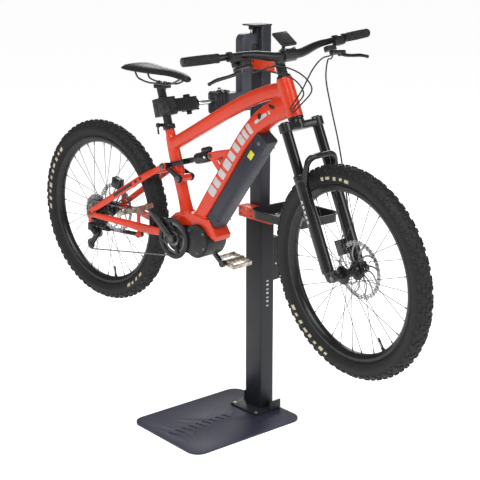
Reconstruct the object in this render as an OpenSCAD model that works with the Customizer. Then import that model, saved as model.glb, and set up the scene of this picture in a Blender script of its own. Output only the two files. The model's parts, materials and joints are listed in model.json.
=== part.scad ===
// Mountain bike held by its seat post on a lifting work stand.
// Origin: floor level under the column's axis. +Z up, the bike stands along +X on the -Y side.

/* [Stand base] */
// Width of the base plate, along the bike
plate_w = 430; // [380:1:520]
// Length of the base plate, across the bike
plate_len = 556; // [500:1:640]
// Thickness of the base plate
plate_t = 8; // [6:0.5:12]
// Distance of the plate's rear edge behind the column's axis
plate_rear = 53; // [50:1:90]
// Corner radius of the base plate
plate_r = 52; // [20:1:80]
// Width of the foot flange
flange_w = 172; // [150:1:200]
// Thickness of the foot flange
flange_t = 8; // [6:0.5:12]

/* [Column] */
// Width of the lower column tube
lower_w = 98; // [88:1:110]
// Depth of the lower column tube
lower_d = 70; // [64:1:80]
// Height of the lower column's top above the floor
lower_top = 826; // [760:1:860]
// Width of the upper column tube
upper_w = 73; // [66:1:76]
// Depth of the upper column tube
upper_d = 50; // [46:1:56]
// Height of the upper column's top above the floor
column_top = 1588; // [1560:1:1620]
// Wall of both column tubes
column_wall = 3; // [2.5:0.5:4]

/* [Clamp arm] */
// Height of the clamp rod above the floor
clamp_z = 1315; // [1300:1:1330]
// Distance from the column's axis to the seat post
arm_reach = 464; // [450:1:520]
// Diameter of the clamp rod
rod_d = 21; // [18:1:24]
// Width of the carriage's box section
carriage_w = 42; // [36:1:50]
// Depth of the carriage's upright bar
bar_d = 48; // [40:1:54]
// Width of the clamp jaws
jaw_w = 56; // [50:1:64]
// Height of the clamp jaws
jaw_h = 66; // [50:1:70]

/* [Bike geometry] */
// Angle of the bike to the stand, seen from above
bike_yaw = 6; // [4:0.5:8]
// Height of the wheel axles above the floor
axle_z = 865; // [860:1:880]
// Distance between the wheel axles
wheelbase = 1255; // [1240:1:1270]
// Outer diameter of the tyres
tyre_d = 724; // [712:1:728]
// Width of the tyres
tyre_w = 72; // [64:1:74]
// Steering axis above the horizontal
head_angle = 67; // [66.5:0.1:67.5]
// Distance of the front axle ahead of the steering axis
fork_offset = 42; // [38:1:46]
// Turn of the handlebar in the stored pose
steer_angle = -9.7; // [-12:0.1:0]
// Seat tube above the horizontal
seat_angle = 73.3; // [73:0.1:74]
// Bottom bracket ahead of the rear axle
bb_x = 464; // [460:1:468]
// Bottom bracket below the rear axle
bb_drop = 20; // [16:1:24]
// Length of the cranks
crank_len = 160; // [155:1:170]
// Angle of the right crank above the forward direction
crank_angle = 141.5; // [120:0.5:160]
// Diameter of the seat post
post_d = 31.6; // [30.9:0.1:31.8]
// Width of the handlebar over its ends
bar_w = 776; // [740:1:790]
// Height of the head tube's lower end above the axle line, along the steering axis
head_low = 542; // [538:1:548]
// Length of the head tube
head_len = 135; // [130:1:140]

/* [Running gear] */
// Radius of the chainring
ring_r = 66; // [60:1:68]
// Radius of the disc brake rotors
rotor_r = 101; // [90:1:102]
// Number of spokes in each wheel
spokes = 32; // [28:4:36]
// Radius of a spoke
spoke_r = 1; // [0.9:0.1:1.2]
// Radius of the axles
axle_r = 6; // [6:0.5:7.5]
// Clearance of running fits
fit = 0.05; // [0.02:0.01:0.08]
// Radius of the fork's upper tubes
stanchion_r = 17.5; // [16:0.5:18]
// Wall of the fork's lower tubes
lowers_wall = 4; // [3:0.5:5]
// Wall of the seat tube around the seat post
seat_tube_wall = 2; // [1.5:0.5:3]

/* [Hidden] */
$fn = 48;
gap = 0.3;                     // space between pieces that move past each other
paint = "#e8431c";
satin = "#23242a";
black = "#161617";
navy = "#3c3c4c";

// bike placing: the seat post's axis crosses the arm at clamp_z
bb = [bb_x, -bb_drop];
seat_foot = bb + [41, 0];      // seat tube axis at the bottom bracket's height
seat_dir = [-cos(seat_angle), sin(seat_angle)];
function seat_at(z) = seat_foot + seat_dir * (z - seat_foot.y) / seat_dir.y;
grip_pt = seat_at(clamp_z - axle_z);
bike_x = -grip_pt.x * cos(bike_yaw);
bike_y = -arm_reach - grip_pt.x * sin(bike_yaw);

// steering frame: origin beside the front axle, Z up the steering axis, X forward
tilt = 90 - head_angle;
fork_foot = [wheelbase - fork_offset * cos(tilt), -fork_offset * sin(tilt)];
head_dir = [-sin(tilt), cos(tilt)];
function head_at(s) = fork_foot + head_dir * s;

// suspension pivots in the bike's plane
main_pivot = bb + [-66, 12];
horst_pivot = [29, 0];
rocker_pivot = seat_at(200) + [28, 0];
link_pivot = rocker_pivot + [-74, 38];
shock_front = [617, 303];
shock_len = norm(shock_front - link_pivot);

tyre_r = tyre_d / 2;
tyre_section = tyre_w / 2;
rim_r = tyre_r - 2 * tyre_section + 4;  // rim edge under the tyre's bead
rim_inner = rim_r - 21;
hub_flange_r = 28;
hub_core_r = axle_r + 5;
stay_y = tyre_section + 10.5;           // chainstay's middle beside the tyre
ring_y = -56;
chain_y = ring_y;
crank_y = 70;
lever_s = 724;                          // brake levers' height on the steering axis
stem_s = head_low + head_len + 62;
jaw_front = 32;                         // depth of the jaws beyond the post
head_y = -237;                          // front of the clamp head
head_depth = 55;
bar_y = -62;                            // column side of the carriage's bar
spindle_y = -arm_reach + 106;           // jaw pivot
bracket_h = 44;
bracket_low = lower_top + 8;
tray_z = bracket_low + 18;
battery_foot = [607, 77];
seat_top = 378;                         // seat tube's upper end
post_r = post_d / 2;
seat_tube_r = post_r + seat_tube_wall;
cog_count = 8;
cog_pitch = 3.9;
chain_cog_r = 45;

module on_bike() {
    translate([bike_x, bike_y, axle_z]) rotate([0, 0, bike_yaw]) children();
}
module on_fork() {
    on_bike() translate([fork_foot.x, 0, fork_foot.y]) rotate([0, -tilt, 0])
        rotate([0, 0, steer_angle]) children();
}
// local Z runs from a towards b, both in the bike's plane
module aim(a, b, y = 0) {
    translate([a.x, y, a.y]) rotate([0, atan2(b.x - a.x, b.y - a.y), 0]) children();
}
module across(p, r, y0, y1) {
    translate([p.x, y0, p.y]) rotate([-90, 0, 0]) cylinder(r = r, h = y1 - y0);
}
module both_sides() {
    children();
    mirror([0, 1, 0]) children();
}
module rounded(w, h, r) {
    square([w - 2 * r, h], center = true);
    square([w, h - 2 * r], center = true);
    for (x = [-1, 1], y = [-1, 1]) translate([x * (w / 2 - r), y * (h / 2 - r)]) circle(r);
}
module rod_between(a, b, r) {
    d = b - a;
    translate(a) rotate([0, acos(d.z / norm(d)), atan2(d.y, d.x)]) cylinder(r = r, h = norm(d));
}
function unit(v) = v / norm(v);
function bulge(v, e) = sign(v) * pow(abs(v), e);
function tangent(path, i, loop) = let (n = len(path))
    unit(path[loop ? (i + 1) % n : min(i + 1, n - 1)] - path[loop ? (i + n - 1) % n : max(i - 1, 0)]);
function section(p, t, ref, size, sides, e) = let (u = unit(cross(ref, t)), v = cross(t, u))
    [for (k = [0:sides - 1]) let (a = 360 * (k + 0.5) / sides)
        p + u * size.x * bulge(cos(a), e) + v * size.y * bulge(sin(a), e)];
// a tube along path; sizes holds half depth and half width at each point
module sweep(path, sizes, wall = 0, sides = 16, e = 0.75, ref = [0, 1, 0], loop = false) {
    n = len(path);
    outer = [for (i = [0:n - 1]) each section(path[i], tangent(path, i, loop), ref,
        is_list(sizes[0]) ? sizes[i] : sizes, sides, e)];
    inner = wall == 0 ? [] : [for (i = [0:n - 1]) each section(path[i], tangent(path, i, loop), ref,
        (is_list(sizes[0]) ? sizes[i] : sizes) - [wall, wall], sides, e)];
    m = n * sides;
    last = loop ? n - 1 : n - 2;
    skin = [for (i = [0:last], k = [0:sides - 1]) let (j = (i + 1) % n, l = (k + 1) % sides,
        a = i * sides + k, b = j * sides + k, c = j * sides + l, d = i * sides + l)
        each [[a, b, c], [a, c, d]]];
    lining = wall == 0 ? [] : [for (f = skin) [f[2] + m, f[1] + m, f[0] + m]];
    z = (n - 1) * sides;
    ends = loop ? [] : wall == 0 ? [[for (k = [0:sides - 1]) k], [for (k = [sides - 1:-1:0]) z + k]]
        : [for (k = [0:sides - 1]) let (l = (k + 1) % sides)
            each [[k, l, l + m], [k, l + m, k + m],
                [z + l, z + k, z + k + m], [z + l, z + k + m, z + l + m]]];
    polyhedron(concat(outer, inner), concat(skin, lining, ends));
}
function bezier(a, b, c, d, n) = [for (i = [0:n]) let (t = i / n, s = 1 - t)
    a * s * s * s + b * 3 * s * s * t + c * 3 * s * t * t + d * t * t * t];
function flat(path, y = 0) = [for (p = path) [p.x, y, p.y]];

// ---------- stand ----------
module base_plate() {
    slots = 9;
    color(navy) difference() {
        translate([0, plate_rear - plate_len / 2]) linear_extrude(plate_t)
            rounded(plate_w, plate_len, plate_r);
        for (i = [0:slots - 1]) translate([0, -arm_reach + 12 + 34 * i, -1])
            linear_extrude(plate_t + 2) rotate(18) rounded(46, 9, 4.4);
        foot_holes();
    }
}
module foot_holes() {
    for (x = [-1, 1], y = [-76, 36]) translate([x * (flange_w / 2 - 17), y, -1])
        cylinder(r = 4.5, h = plate_t + flange_t + 2);
}
module foot_flange() {
    color(satin) {
        difference() {
            translate([0, -20.5, plate_t]) linear_extrude(flange_t) rounded(flange_w, 137, 12);
            foot_holes();
        }
        for (x = [-1, 1]) translate([x * (flange_w / 2 - 3.5) - 3.5, -12, plate_t + flange_t])
            cube([7, 56, 34]);
    }
}
module foot_bolts() {
    color("silver") for (x = [-1, 1], y = [-76, 36]) translate([x * (flange_w / 2 - 17), y, 0]) {
        translate([0, 0, 3]) cylinder(r = 4.4, h = plate_t + flange_t - 3);
        translate([0, 0, plate_t + flange_t]) cylinder(r = 7.2, h = 5);
    }
}
module column_tube(w, d, h) {
    difference() {
        linear_extrude(h) rounded(w, d, 6);
        translate([0, 0, -1]) linear_extrude(h + 2)
            rounded(w - 2 * column_wall, d - 2 * column_wall, 3);
    }
}
module lower_column() {
    base = plate_t + flange_t;
    color(satin) translate([0, 0, base]) column_tube(lower_w, lower_d, lower_top - base);
}
module column_bushing() {
    color(black) difference() {
        union() {
            translate([0, 0, lower_top - 60]) linear_extrude(60)
                rounded(lower_w - 2 * column_wall, lower_d - 2 * column_wall, 3);
            translate([0, 0, lower_top]) linear_extrude(5) rounded(lower_w, lower_d, 6);
        }
        translate([0, 0, lower_top - 61]) linear_extrude(70)
            rounded(upper_w + 2 * gap, upper_d + 2 * gap, 6 + gap);
    }
}
module drive_box() {
    color(black) translate([0, lower_d / 2 + 24, 557]) linear_extrude(180) rounded(70, 48, 6);
}
module lift_actuator() {
    color("gray") difference() {
        translate([0, 0, plate_t + flange_t]) cylinder(r = 16, h = 690);
        translate([0, 0, 60]) cylinder(r = 9 + fit, h = 700);
    }
}
module lift_rod() {
    color("silver") translate([0, 0, 400]) cylinder(r = 9, h = column_top - 400);
}
module upper_column() {
    color(satin) translate([0, 0, 60]) column_tube(upper_w, upper_d, column_top - 60);
}
module column_cap() {
    color(satin) translate([-upper_w / 2 - 1, -62, column_top]) cube([upper_w + 2, 62 + upper_d / 2 + 1, 6]);
}
module lock_knob() {
    color(black) translate([0, -48, 0]) {
        translate([0, 0, column_top - 14]) cylinder(r = 11, h = 13.7);
        translate([0, 0, column_top - 27.7]) cylinder(r = 5, h = 14);
    }
}
module carriage_side() {
    top = column_top - 28;
    front = bar_y - bar_d;
    r = 26;
    nose = head_y + head_depth - 2;
    translate([front, clamp_z - 46]) square([bar_d, top - clamp_z + 46 - r]);
    translate([front + r, top - 42]) square([-upper_d / 2 - gap - front - r - 10, 42]);
    translate([front, top - 42]) square([r, 42 - r]);
    translate([front + r, top - r]) circle(r);
    translate([nose + 20, clamp_z - 48]) square([bar_y - nose - 20, 74]);
    translate([nose, clamp_z - 28]) square([24, 34]);
    translate([nose + 20, clamp_z - 28]) circle(20);
    translate([nose + 20, clamp_z + 6]) circle(20);
}
module carriage() {
    color("#4b4d55") rotate([90, 0, 90]) translate([0, 0, -carriage_w / 2])
        linear_extrude(carriage_w) difference() {
            carriage_side();
            translate([bar_y, column_top - 92]) square([60, 22]);
        }
}
module slide_block() {
    y0 = -upper_d / 2;
    color(black) {
        translate([-19, y0 - 10, column_top - 100]) cube([38, 10, 92]);
        translate([-15, bar_y, column_top - 92]) cube([30, -bar_y + y0 - 10, 21]);
    }
}
module tray_bracket(z, arm_h, depth) {
    y0 = -upper_d / 2 - depth;
    translate([0, 0, z]) difference() {
        union() {
            translate([-45, y0, 0]) cube([100, 3, bracket_h]);
            translate([54, y0, 0]) cube([96, 3, arm_h]);
            for (h = [0, bracket_h - 3]) translate([-45, y0, h]) cube([100, depth, 3]);
            for (h = [0, arm_h - 3]) translate([54, y0, h]) cube([96, 24, 3]);
        }
        for (i = [0:2], k = [0, 1]) translate([-30 + 30 * i, y0 - 1, 10 + 24 * k]) rotate([-90, 0, 0])
            cylinder(r = 3, h = 5);
        translate([112, y0 - 1, arm_h / 2]) rotate([-90, 0, 0]) cylinder(r = 4, h = 5);
    }
}
module tray_brackets() {
    color(paint) {
        tray_bracket(bracket_low, 18, 50);
        tray_bracket(column_top - 163, bracket_h - 4, -bar_y - upper_d / 2 - 1);
    }
}
module tray_outline(grow) {
    translate([(58 + 335) / 2, 10]) rounded(277 + 2 * grow, 230 + 2 * grow, 42 + grow);
}
module tool_tray() {
    color(black) translate([0, 0, tray_z]) difference() {
        union() {
            linear_extrude(34) tray_outline(0);
            translate([0, 0, 31]) linear_extrude(3) tray_outline(6);
        }
        translate([0, 0, 3]) linear_extrude(40) tray_outline(-3);
        for (i = [0:5], k = [0:4]) translate([90 + 42 * i, -70 + 40 * k, -1]) cylinder(r = 8, h = 5);
    }
}
module clamp_head() {
    color(black) difference() {
        union() {
            translate([0, head_y, clamp_z - 8]) rotate([-90, 0, 0]) linear_extrude(head_depth - 2)
                rounded(62, 80, 8);
            for (i = [0:2]) translate([0, head_y + 6 + 16 * i, clamp_z - 8]) rotate([-90, 0, 0])
                linear_extrude(7) rounded(68, 86, 9);
            translate([0, head_y + 30, clamp_z + 30]) cylinder(r = 9, h = 9);
        }
        translate([0, head_y - 1, clamp_z]) rotate([-90, 0, 0]) cylinder(r = rod_d / 2 + fit, h = 60);
    }
}
module head_lever() {
    color("#303033") translate([0, head_y + 30, clamp_z + 39 + gap]) {
        cylinder(r = 10, h = 7);
        rotate(-8) translate([0, -5, 0]) cube([62, 10, 6]);
        rotate(-8) translate([62, 0, 0]) cylinder(r = 6.5, h = 7);
    }
}
module clamp_rod() {
    color("silver") translate([0, spindle_y + 14, clamp_z]) rotate([-90, 0, 0])
        cylinder(r = rod_d / 2, h = head_y + 50 - spindle_y - 14);
}
// clamp parts lean with the seat post
module on_clamp() {
    translate([0, -arm_reach, clamp_z]) rotate([0, seat_angle - 90, 0]) translate([0, arm_reach, 0])
        children();
}
module post_hole(r) {
    on_bike() translate([seat_at(250).x, 0, 250]) rotate([0, seat_angle - 90, 0])
        cylinder(r = r, h = 400);
}
module clamp_body() {
    r = rod_d / 2;
    color(black) difference() {
        union() {
            on_clamp() {
                translate([-24, spindle_y - 16, -25]) cube([48, 44, 50]);
                translate([0.5, -arm_reach - jaw_front, -jaw_h / 2]) cube([jaw_w / 2, 2 * jaw_front, jaw_h]);
                translate([0.5, -arm_reach + jaw_front - 1, -24]) cube([24, 60, 48]);
            }
            translate([0, spindle_y + 26, clamp_z]) rotate([-90, 0, 0]) cylinder(r = r + 9, h = 14);
        }
        translate([0, spindle_y + 14, clamp_z]) rotate([-90, 0, 0]) cylinder(r = r, h = 60);
        on_clamp() {
            translate([0, spindle_y, -40]) cylinder(r = 6 + fit, h = 80);
            translate([-40, spindle_y - 20, -12.5]) cube([40.5, 34, 25]);
            translate([0, spindle_y, -12.5]) cylinder(r = 13.6, h = 25);
        }
        post_hole(post_r + 0.02);
    }
}
module clamp_jaw() {
    color(black) difference() {
        on_clamp() {
            translate([-0.5 - jaw_w / 2, -arm_reach - jaw_front, -jaw_h / 2])
                cube([jaw_w / 2, 2 * jaw_front, jaw_h]);
            translate([-24.5, -arm_reach + jaw_front - 1, -12])
                cube([24, spindle_y + arm_reach - jaw_front + 1, 24]);
            translate([0, spindle_y, -12]) cylinder(r = 13, h = 24);
        }
        on_clamp() translate([0, spindle_y, -40]) cylinder(r = 6 + fit, h = 80);
        post_hole(post_r + 0.25);
    }
}
module jaw_knob() {
    color(black) on_clamp() translate([0, spindle_y, 0]) {
        translate([0, 0, -34]) cylinder(r = 6, h = 60);
        translate([0, 0, 25 + gap]) cylinder(r = 13, h = 12, $fn = 8);
        translate([0, 0, -38]) cylinder(r = 10, h = 12.7);
    }
}

// ---------- frame ----------
down_path = [[545, 40], [620, 146], [700, 259], [775, 367], [840, 438], [905, 486], head_at(head_low + 42)];
top_path = bezier(seat_at(318) + [8, 0], [640, 433], [800, 548], head_at(head_low + 96), 9);
module motor_form(grow) {
    across(bb, 48 + grow, -50 - grow, 50 + grow);
    across([572, -10], 58 + grow, -52 - grow, 52 + grow);
    translate([bb.x, -50 - grow, -66 - grow]) cube([110, 100 + 2 * grow, 96 + 2 * grow]);
}
module battery_form(grow) {
    aim(battery_foot, [856, 418]) translate([29, 0, -grow]) linear_extrude(424 + 2 * grow)
        rounded(57 + 2 * grow, 66 + 2 * grow, 10);
}
module frame_bores() {
    translate([seat_at(40).x, 0, 40]) rotate([0, seat_angle - 90, 0]) cylinder(r = post_r + 0.1, h = 380);
    translate([head_at(head_low - 20).x, 0, head_at(head_low - 20).y]) rotate([0, -tilt, 0])
        cylinder(r = 18, h = head_len + 40);
    translate([head_at(head_low).x, 0, head_at(head_low).y]) rotate([0, -tilt, 0]) {
        translate([0, 0, -1]) cylinder(r = 22.1, h = 9);
        translate([0, 0, head_len - 8]) cylinder(r = 22.1, h = 9);
    }
    across(main_pivot, 8 + fit, -60, 60);
    across(rocker_pivot, 5, -60, 60);
    across(shock_front, 5, -60, 60);
}
module main_frame() {
    color(paint) on_bike() difference() {
        union() {
            sweep(flat(top_path), [for (i = [0:9]) [24 + i * 0.3, 21]], 2.5);
            sweep(flat(down_path), [[30, 34], [33, 35], [33, 35], [33, 35], [36, 34], [38, 31], [38, 25]], 3);
            sweep(flat([seat_at(45), seat_at(120), seat_at(230), seat_at(300), seat_at(345)]),
                [for (w = [[26, 8.2], [25, 0.4], [26, 0.4], [24, 0.4], [19, 0.4]])
                    [w.x, seat_tube_r + w.y]], 2);
            translate([seat_at(70).x, 0, 70]) rotate([0, seat_angle - 90, 0])
                cylinder(r = seat_tube_r, h = (seat_top - 70) / sin(seat_angle));
            aim(head_at(head_low), head_at(head_low + 10)) cylinder(r = 27, h = head_len);
            motor_shell();
            across(rocker_pivot, 14, -25.5, 25.5);
            shock_mount();
            pivot_lug();
        }
        frame_bores();
        motor_form(0.2);
        battery_form(0.3);
    }
}
module motor_shell() {
    rotate([90, 0, 0]) translate([0, 0, -38]) linear_extrude(76)
        polygon([[456, 40], [486, 70], [520, 84], [556, 82], [628, 72], [668, 18], [662, -2],
            [560, 40], [470, 26]]);
}
module shock_mount() {
    for (y = [-19, 12.2]) translate([0, y + 6.8, 0]) rotate([90, 0, 0]) linear_extrude(6.8) difference() {
        union() {
            translate(shock_front) circle(14);
            polygon([shock_front + [-6, 13], [720, 340], [740, 330], [672, 238], shock_front + [4, -14]]);
        }
        polygon([[648, 298], [690, 314], [664, 276]]);
    }
}
module pivot_lug() {
    rotate([90, 0, 0]) translate([0, 0, -33]) linear_extrude(66) difference() {
        union() {
            translate(main_pivot) circle(14);
            polygon([main_pivot + [-13, 4], [398, 34], [448, 70], [486, 78], [500, 40], [430, 30],
                main_pivot + [13, 2]]);
        }
        translate(bb) circle(48.6);
    }
}
module frame_fasteners() {
    color("#2a2a2c") on_bike() {
        difference() {
            across(rocker_pivot, 8, -36, 36);
            across(rocker_pivot, 4.9, -26, 26);
            translate([0, -25.6, 0]) cube([1200, 51.2, 800]);
        }
        across(rocker_pivot, 4.8, -26, 26);
        both_sides() across(rocker_pivot, 12, 36, 40);
        across(shock_front, 4.9, -22, 22);
        both_sides() across(shock_front, 8, 19.4, 23);
        difference() {
            translate([seat_at(seat_top - 8).x, 0, seat_top - 8]) rotate([0, seat_angle - 90, 0])
                cylinder(r = seat_tube_r + 5.2, h = 18);
            translate([seat_at(250).x, 0, 250]) rotate([0, seat_angle - 90, 0])
                cylinder(r = seat_tube_r + fit, h = (seat_top - 250) / sin(seat_angle) + 0.1);
            translate([seat_at(250).x, 0, 250]) rotate([0, seat_angle - 90, 0])
                cylinder(r = post_r + 0.1, h = 200);
        }
        translate([seat_at(seat_top).x - seat_tube_r - 12.2, -11, seat_top - 2]) cube([9, 22, 12]);
    }
}
module seat_qr_lever() {
    p = [seat_at(seat_top).x - seat_tube_r - 19.2, seat_top + 4];
    color(black) on_bike() {
        across(p, 6, -17, 17);
        across(p, 9, -25, -17);
        translate([p.x - 3, -24, p.y - 34]) cube([6, 6, 34]);
    }
}
module battery() {
    color("#34353f") on_bike() difference() {
        battery_form(0);
        motor_form(0.6);
    }
}
module motor() {
    color("#1b1b1d") on_bike() difference() {
        union() {
            motor_form(0);
            difference() {
                for (i = [0:5]) across(bb, 51, -47 + 17 * i, -42 + 17 * i);
                translate([bb.x - 60, -60, 4]) cube([200, 120, 100]);
            }
            difference() {
                across([566, -12], 66, -46, 46);
                translate([480, -60, -10]) cube([200, 120, 100]);
            }
        }
        across(bb, 12 + fit, -70, 70);
        across(main_pivot, 14.6, -34, 34);
    }
}
module headset() {
    color(black) on_bike() aim(head_at(head_low), head_at(head_low + 10)) difference() {
        union() {
            cylinder(r = 22, h = 7.5);
            translate([0, 0, -8]) cylinder(r = 27, h = 8);
            translate([0, 0, head_len - 7.5]) cylinder(r = 22, h = 7.5);
            translate([0, 0, head_len]) cylinder(r = 25, h = 9);
        }
        translate([0, 0, -20]) cylinder(r = 14.3 + fit, h = head_len + 60);
    }
}
module seat_post() {
    low = seat_at(255);
    color(black) on_bike() translate([low.x, 0, low.y]) rotate([0, seat_angle - 90, 0]) {
        difference() {
            cylinder(r = post_r, h = 275);
            translate([0, 0, -1]) cylinder(r = post_r - 2.5, h = 250);
        }
        translate([0, 0, 275]) rotate([0, 90 - seat_angle, 0]) {
            translate([-8, -17, 12]) cube([34, 34, 10]);
            translate([-14, -24, 0]) cube([44, 48, 13]);
        }
    }
}
saddle_z = 548;
saddle_line = [[186, 586], [200, 586], [250, 584], [320, 580], [400, 577], [455, 570], [490, 562],
    [497, 559]];
saddle_size = [[8, 58], [14, 68], [15, 68], [13, 48], [12, 26], [12, 20], [9, 15], [4, 8]];
module saddle() {
    rail = [[250, saddle_z], [300, saddle_z - 12], [400, saddle_z - 12], [460, saddle_z + 6]];
    color(black) on_bike() {
        sweep(flat(saddle_line), saddle_size, 0, 20, 0.85);
        both_sides() sweep(flat(rail, 22), [3.5, 3.5], 0, 8, 1);
        both_sides() translate([248, 19, saddle_z]) cube([8, 7, 28]);
        both_sides() translate([455, 8, saddle_z + 4]) cube([8, 17, 18]);
    }
}

// ---------- drive ----------
module chainring() {
    color("#202022") on_bike() difference() {
        union() {
            across(bb, ring_r, ring_y - 1.5, ring_y + 1.5);
            across(bb, ring_r + 12, ring_y - 6, ring_y - 3.8);
            across(bb, 30, ring_y - 6, ring_y + 4);
        }
        across(bb, 12, -80, 0);
        for (i = [0:4]) rotate_about(bb, 72 * i + 20) across([bb.x + 46, bb.y], 11, -70, -40);
    }
}
module rotate_about(p, a) {
    translate([p.x, 0, p.y]) rotate([0, -a, 0]) translate([-p.x, 0, -p.y]) children();
}
pedal_at = [bb.x + crank_len * cos(crank_angle), bb.y + crank_len * sin(crank_angle)];
module crank_arm(side) {
    tip = bb + (side < 0 ? 1 : -1) * (pedal_at - bb);
    y0 = side < 0 ? -crank_y - 7 : crank_y - 7;
    across(bb, 19, y0, y0 + 14);
    across(tip, 14, y0, y0 + 14);
    aim(bb, tip, y0 + 7) translate([0, 0, crank_len / 2]) cube([26, 13, crank_len], center = true);
}
module cranks() {
    color("#1c1c1e") on_bike() {
        crank_arm(-1);
        crank_arm(1);
        across(bb, 12, -crank_y, crank_y);
        across(pedal_at, 5, -crank_y - 110, -crank_y);
        across(2 * bb - pedal_at, 5, crank_y, crank_y + 110);
    }
}
module pedal(p, side) {
    y0 = side < 0 ? -crank_y - 112 : crank_y + 12;
    difference() {
        translate([p.x, y0 + 50, p.y]) rotate([90, 0, 0]) union() {
            difference() {
                cube([98, 18, 100], center = true);
                for (x = [-1, 1]) translate([x * 27, 0, 0]) cube([30, 30, 80], center = true);
            }
            cylinder(r = 11, h = 100, center = true);
        }
        across(p, 5 + fit, side < 0 ? y0 + 1 : y0 - 1, side < 0 ? y0 + 101 : y0 + 99);
    }
}
module pedal_right() {
    color("#8a7a63") on_bike() rotate_about(pedal_at, 20) pedal(pedal_at, -1);
}
module pedal_left() {
    color("#8a7a63") on_bike() rotate_about(2 * bb - pedal_at, -12) pedal(2 * bb - pedal_at, 1);
}
guide_at = [24, -76];
tension_at = [-26, -134];
pulley_r = 19;
function arc(c, r, a0, a1, n) = [for (i = [0:n]) let (a = a0 + (a1 - a0) * i / n) c + r * [cos(a), sin(a)]];
module chain() {
    r = ring_r + 3.2;
    run = concat(arc(bb, r, 98, -84, 20), arc(tension_at, pulley_r + 3.2, -84, -248, 10),
        arc(guide_at, pulley_r + 3.2, -58, 62, 8), arc([0, 0], chain_cog_r + 3.2, -110, -262, 12));
    color("#3a3a3c") on_bike() sweep(flat(run, chain_y), [2.6, 2.4], 0, 4, 1, [0, 1, 0], true);
}
module cassette() {
    color("#5a5a5e") on_bike() difference() {
        union() {
            for (i = [0:cog_count - 1]) translate([0, -67 + cog_pitch * i, 0])
                across([0, 0], cog_r(i), -0.9, 0.9);
            across([0, 0], 17, -70, -37);
        }
        across([0, 0], axle_r + fit, -80, 0);
    }
}
function cog_r(i) = i == 3 ? chain_cog_r : 25 + 6.8 * i;
module derailleur() {
    color(black) on_bike() {
        across([6, -28], 13, -75.2, -70.4);
        aim([6, -28], [2, -62], -74) translate([0, 0, 26]) cube([24, 20, 30], center = true);
        aim([-2, -58], guide_at, -70) translate([0, 0, 14]) cube([20, 18, 36], center = true);
        for (y = [-61.5, -51.3]) aim(guide_at, tension_at, y) translate([0, 0, 38])
            cube([18, 1.8, 92], center = true);
        for (c = [guide_at, tension_at]) {
            across(c, pulley_r, -57.6, -54.4);
            across(c, 5, -66, -50);
        }
    }
}

// ---------- rear suspension ----------
module chainstays() {
    color(paint) on_bike() {
        both_sides() {
            sweep([[main_pivot.x + 6, stay_y, main_pivot.y], [360, stay_y, -14], [300, stay_y + 2, -15],
                [210, 62, -9], [110, 80, -2], [horst_pivot.x + 4, 89, horst_pivot.y]],
                [[15, 5.4], [16, 5.4], [17, 5.6], [15, 6.5], [12, 6], [10, 4]], 1.6, 12);
            across(main_pivot, 14, stay_y - 5.4, stay_y + 5.4);
            difference() {
                across(horst_pivot, 11, 84, 92);
                across(horst_pivot, 4, 80, 93);
            }
        }
        across(main_pivot, 8, -stay_y, stay_y);
        both_sides() across(horst_pivot, 3.9, 75, 94);
        translate([96, 80, -104]) cube([16, 8, 100]);
        across([104, -100], 12, 74, 88);
    }
}
module kickstand() {
    color(black) on_bike() {
        difference() {
            across([104, -100], 12, 88 + gap, 100);
            across([104, -100], 4, 80, 101);
        }
        translate([104, 98, -104]) rotate([0, -93, 0]) cylinder(r = 9, h = 240);
        for (i = [0:5]) translate([104, 98, -104]) rotate([0, -93, 0]) translate([0, 0, 202 + 7 * i])
            cylinder(r = 12, h = 4);
    }
}
module seatstays() {
    color(paint) on_bike() difference() {
        union() {
            both_sides() {
                sweep([[8, 79, 10], [60, 77, 40], [200, 64, 126], [300, 52, 186], [345, 43, 211],
                    [link_pivot.x - 4, 40, link_pivot.y - 3]],
                    [[12, 4.5], [12, 6], [13, 6.5], [13, 6], [12, 5.5], [10, 4.8]], 1.6, 12);
                across([0, 0], 16, 75.5, 82.5);
                across(horst_pivot, 11, 75.5, 82.5);
                translate([0, 75.5, -9]) cube([horst_pivot.x, 7, 18]);
                across(link_pivot, 13, 35, 44.5);
            }
            across([338, 207], 9, -46, 46);
            translate([12, 73, 18]) cube([24, 6, 62]);
            translate([-8, -82.5, -36]) cube([18, 7, 36]);
        }
        across([0, 0], axle_r, -90, 90);
        both_sides() across(horst_pivot, 4, 70, 95);
        across(link_pivot, 8, -60, 60);
    }
}
module rear_axle_and_brake() {
    color("#2a2a2c") on_bike() {
        across([0, 0], axle_r, -88, 82.6);
        across([0, 0], axle_r + 3, 82.7, 88);
        difference() {
            translate([4, 44, 58]) rotate([0, -80, 0]) translate([22, 0, -24]) cube([44, 27, 48]);
            across([0, 0], rotor_r + 1.5, 49.5, 56);
        }
    }
}
module rocker_link() {
    color(black) on_bike() difference() {
        both_sides() {
            across(rocker_pivot, 16, 26, 33);
            across(link_pivot, 12, 26, 33);
            aim(rocker_pivot, link_pivot, 29.5) translate([0, 0, 41]) cube([22, 7, 84], center = true);
            across(link_pivot, 5, 19, 50);
            across(link_pivot, 11.5, 46, 51);
        }
        across(rocker_pivot, 8 + fit, -60, 60);
    }
}
module shock_shaft() {
    color("#2c2c2f") on_bike() difference() {
        union() {
            both_sides() {
                across(link_pivot, 11.5, 19.2, 25.3);
                aim(link_pivot, shock_front, 22.25) translate([0, 0, 44]) cube([17, 5.5, 88], center = true);
            }
            aim(link_pivot, shock_front) {
                translate([0, 0, 90]) cube([21, 52, 16], center = true);
                cylinder_from(8, 90, 172);
            }
        }
        across(link_pivot, 7.4, -60, 60);
    }
}
module cylinder_from(r, z0, z1) {
    translate([0, 0, z0]) cylinder(r = r, h = z1 - z0);
}
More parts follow.
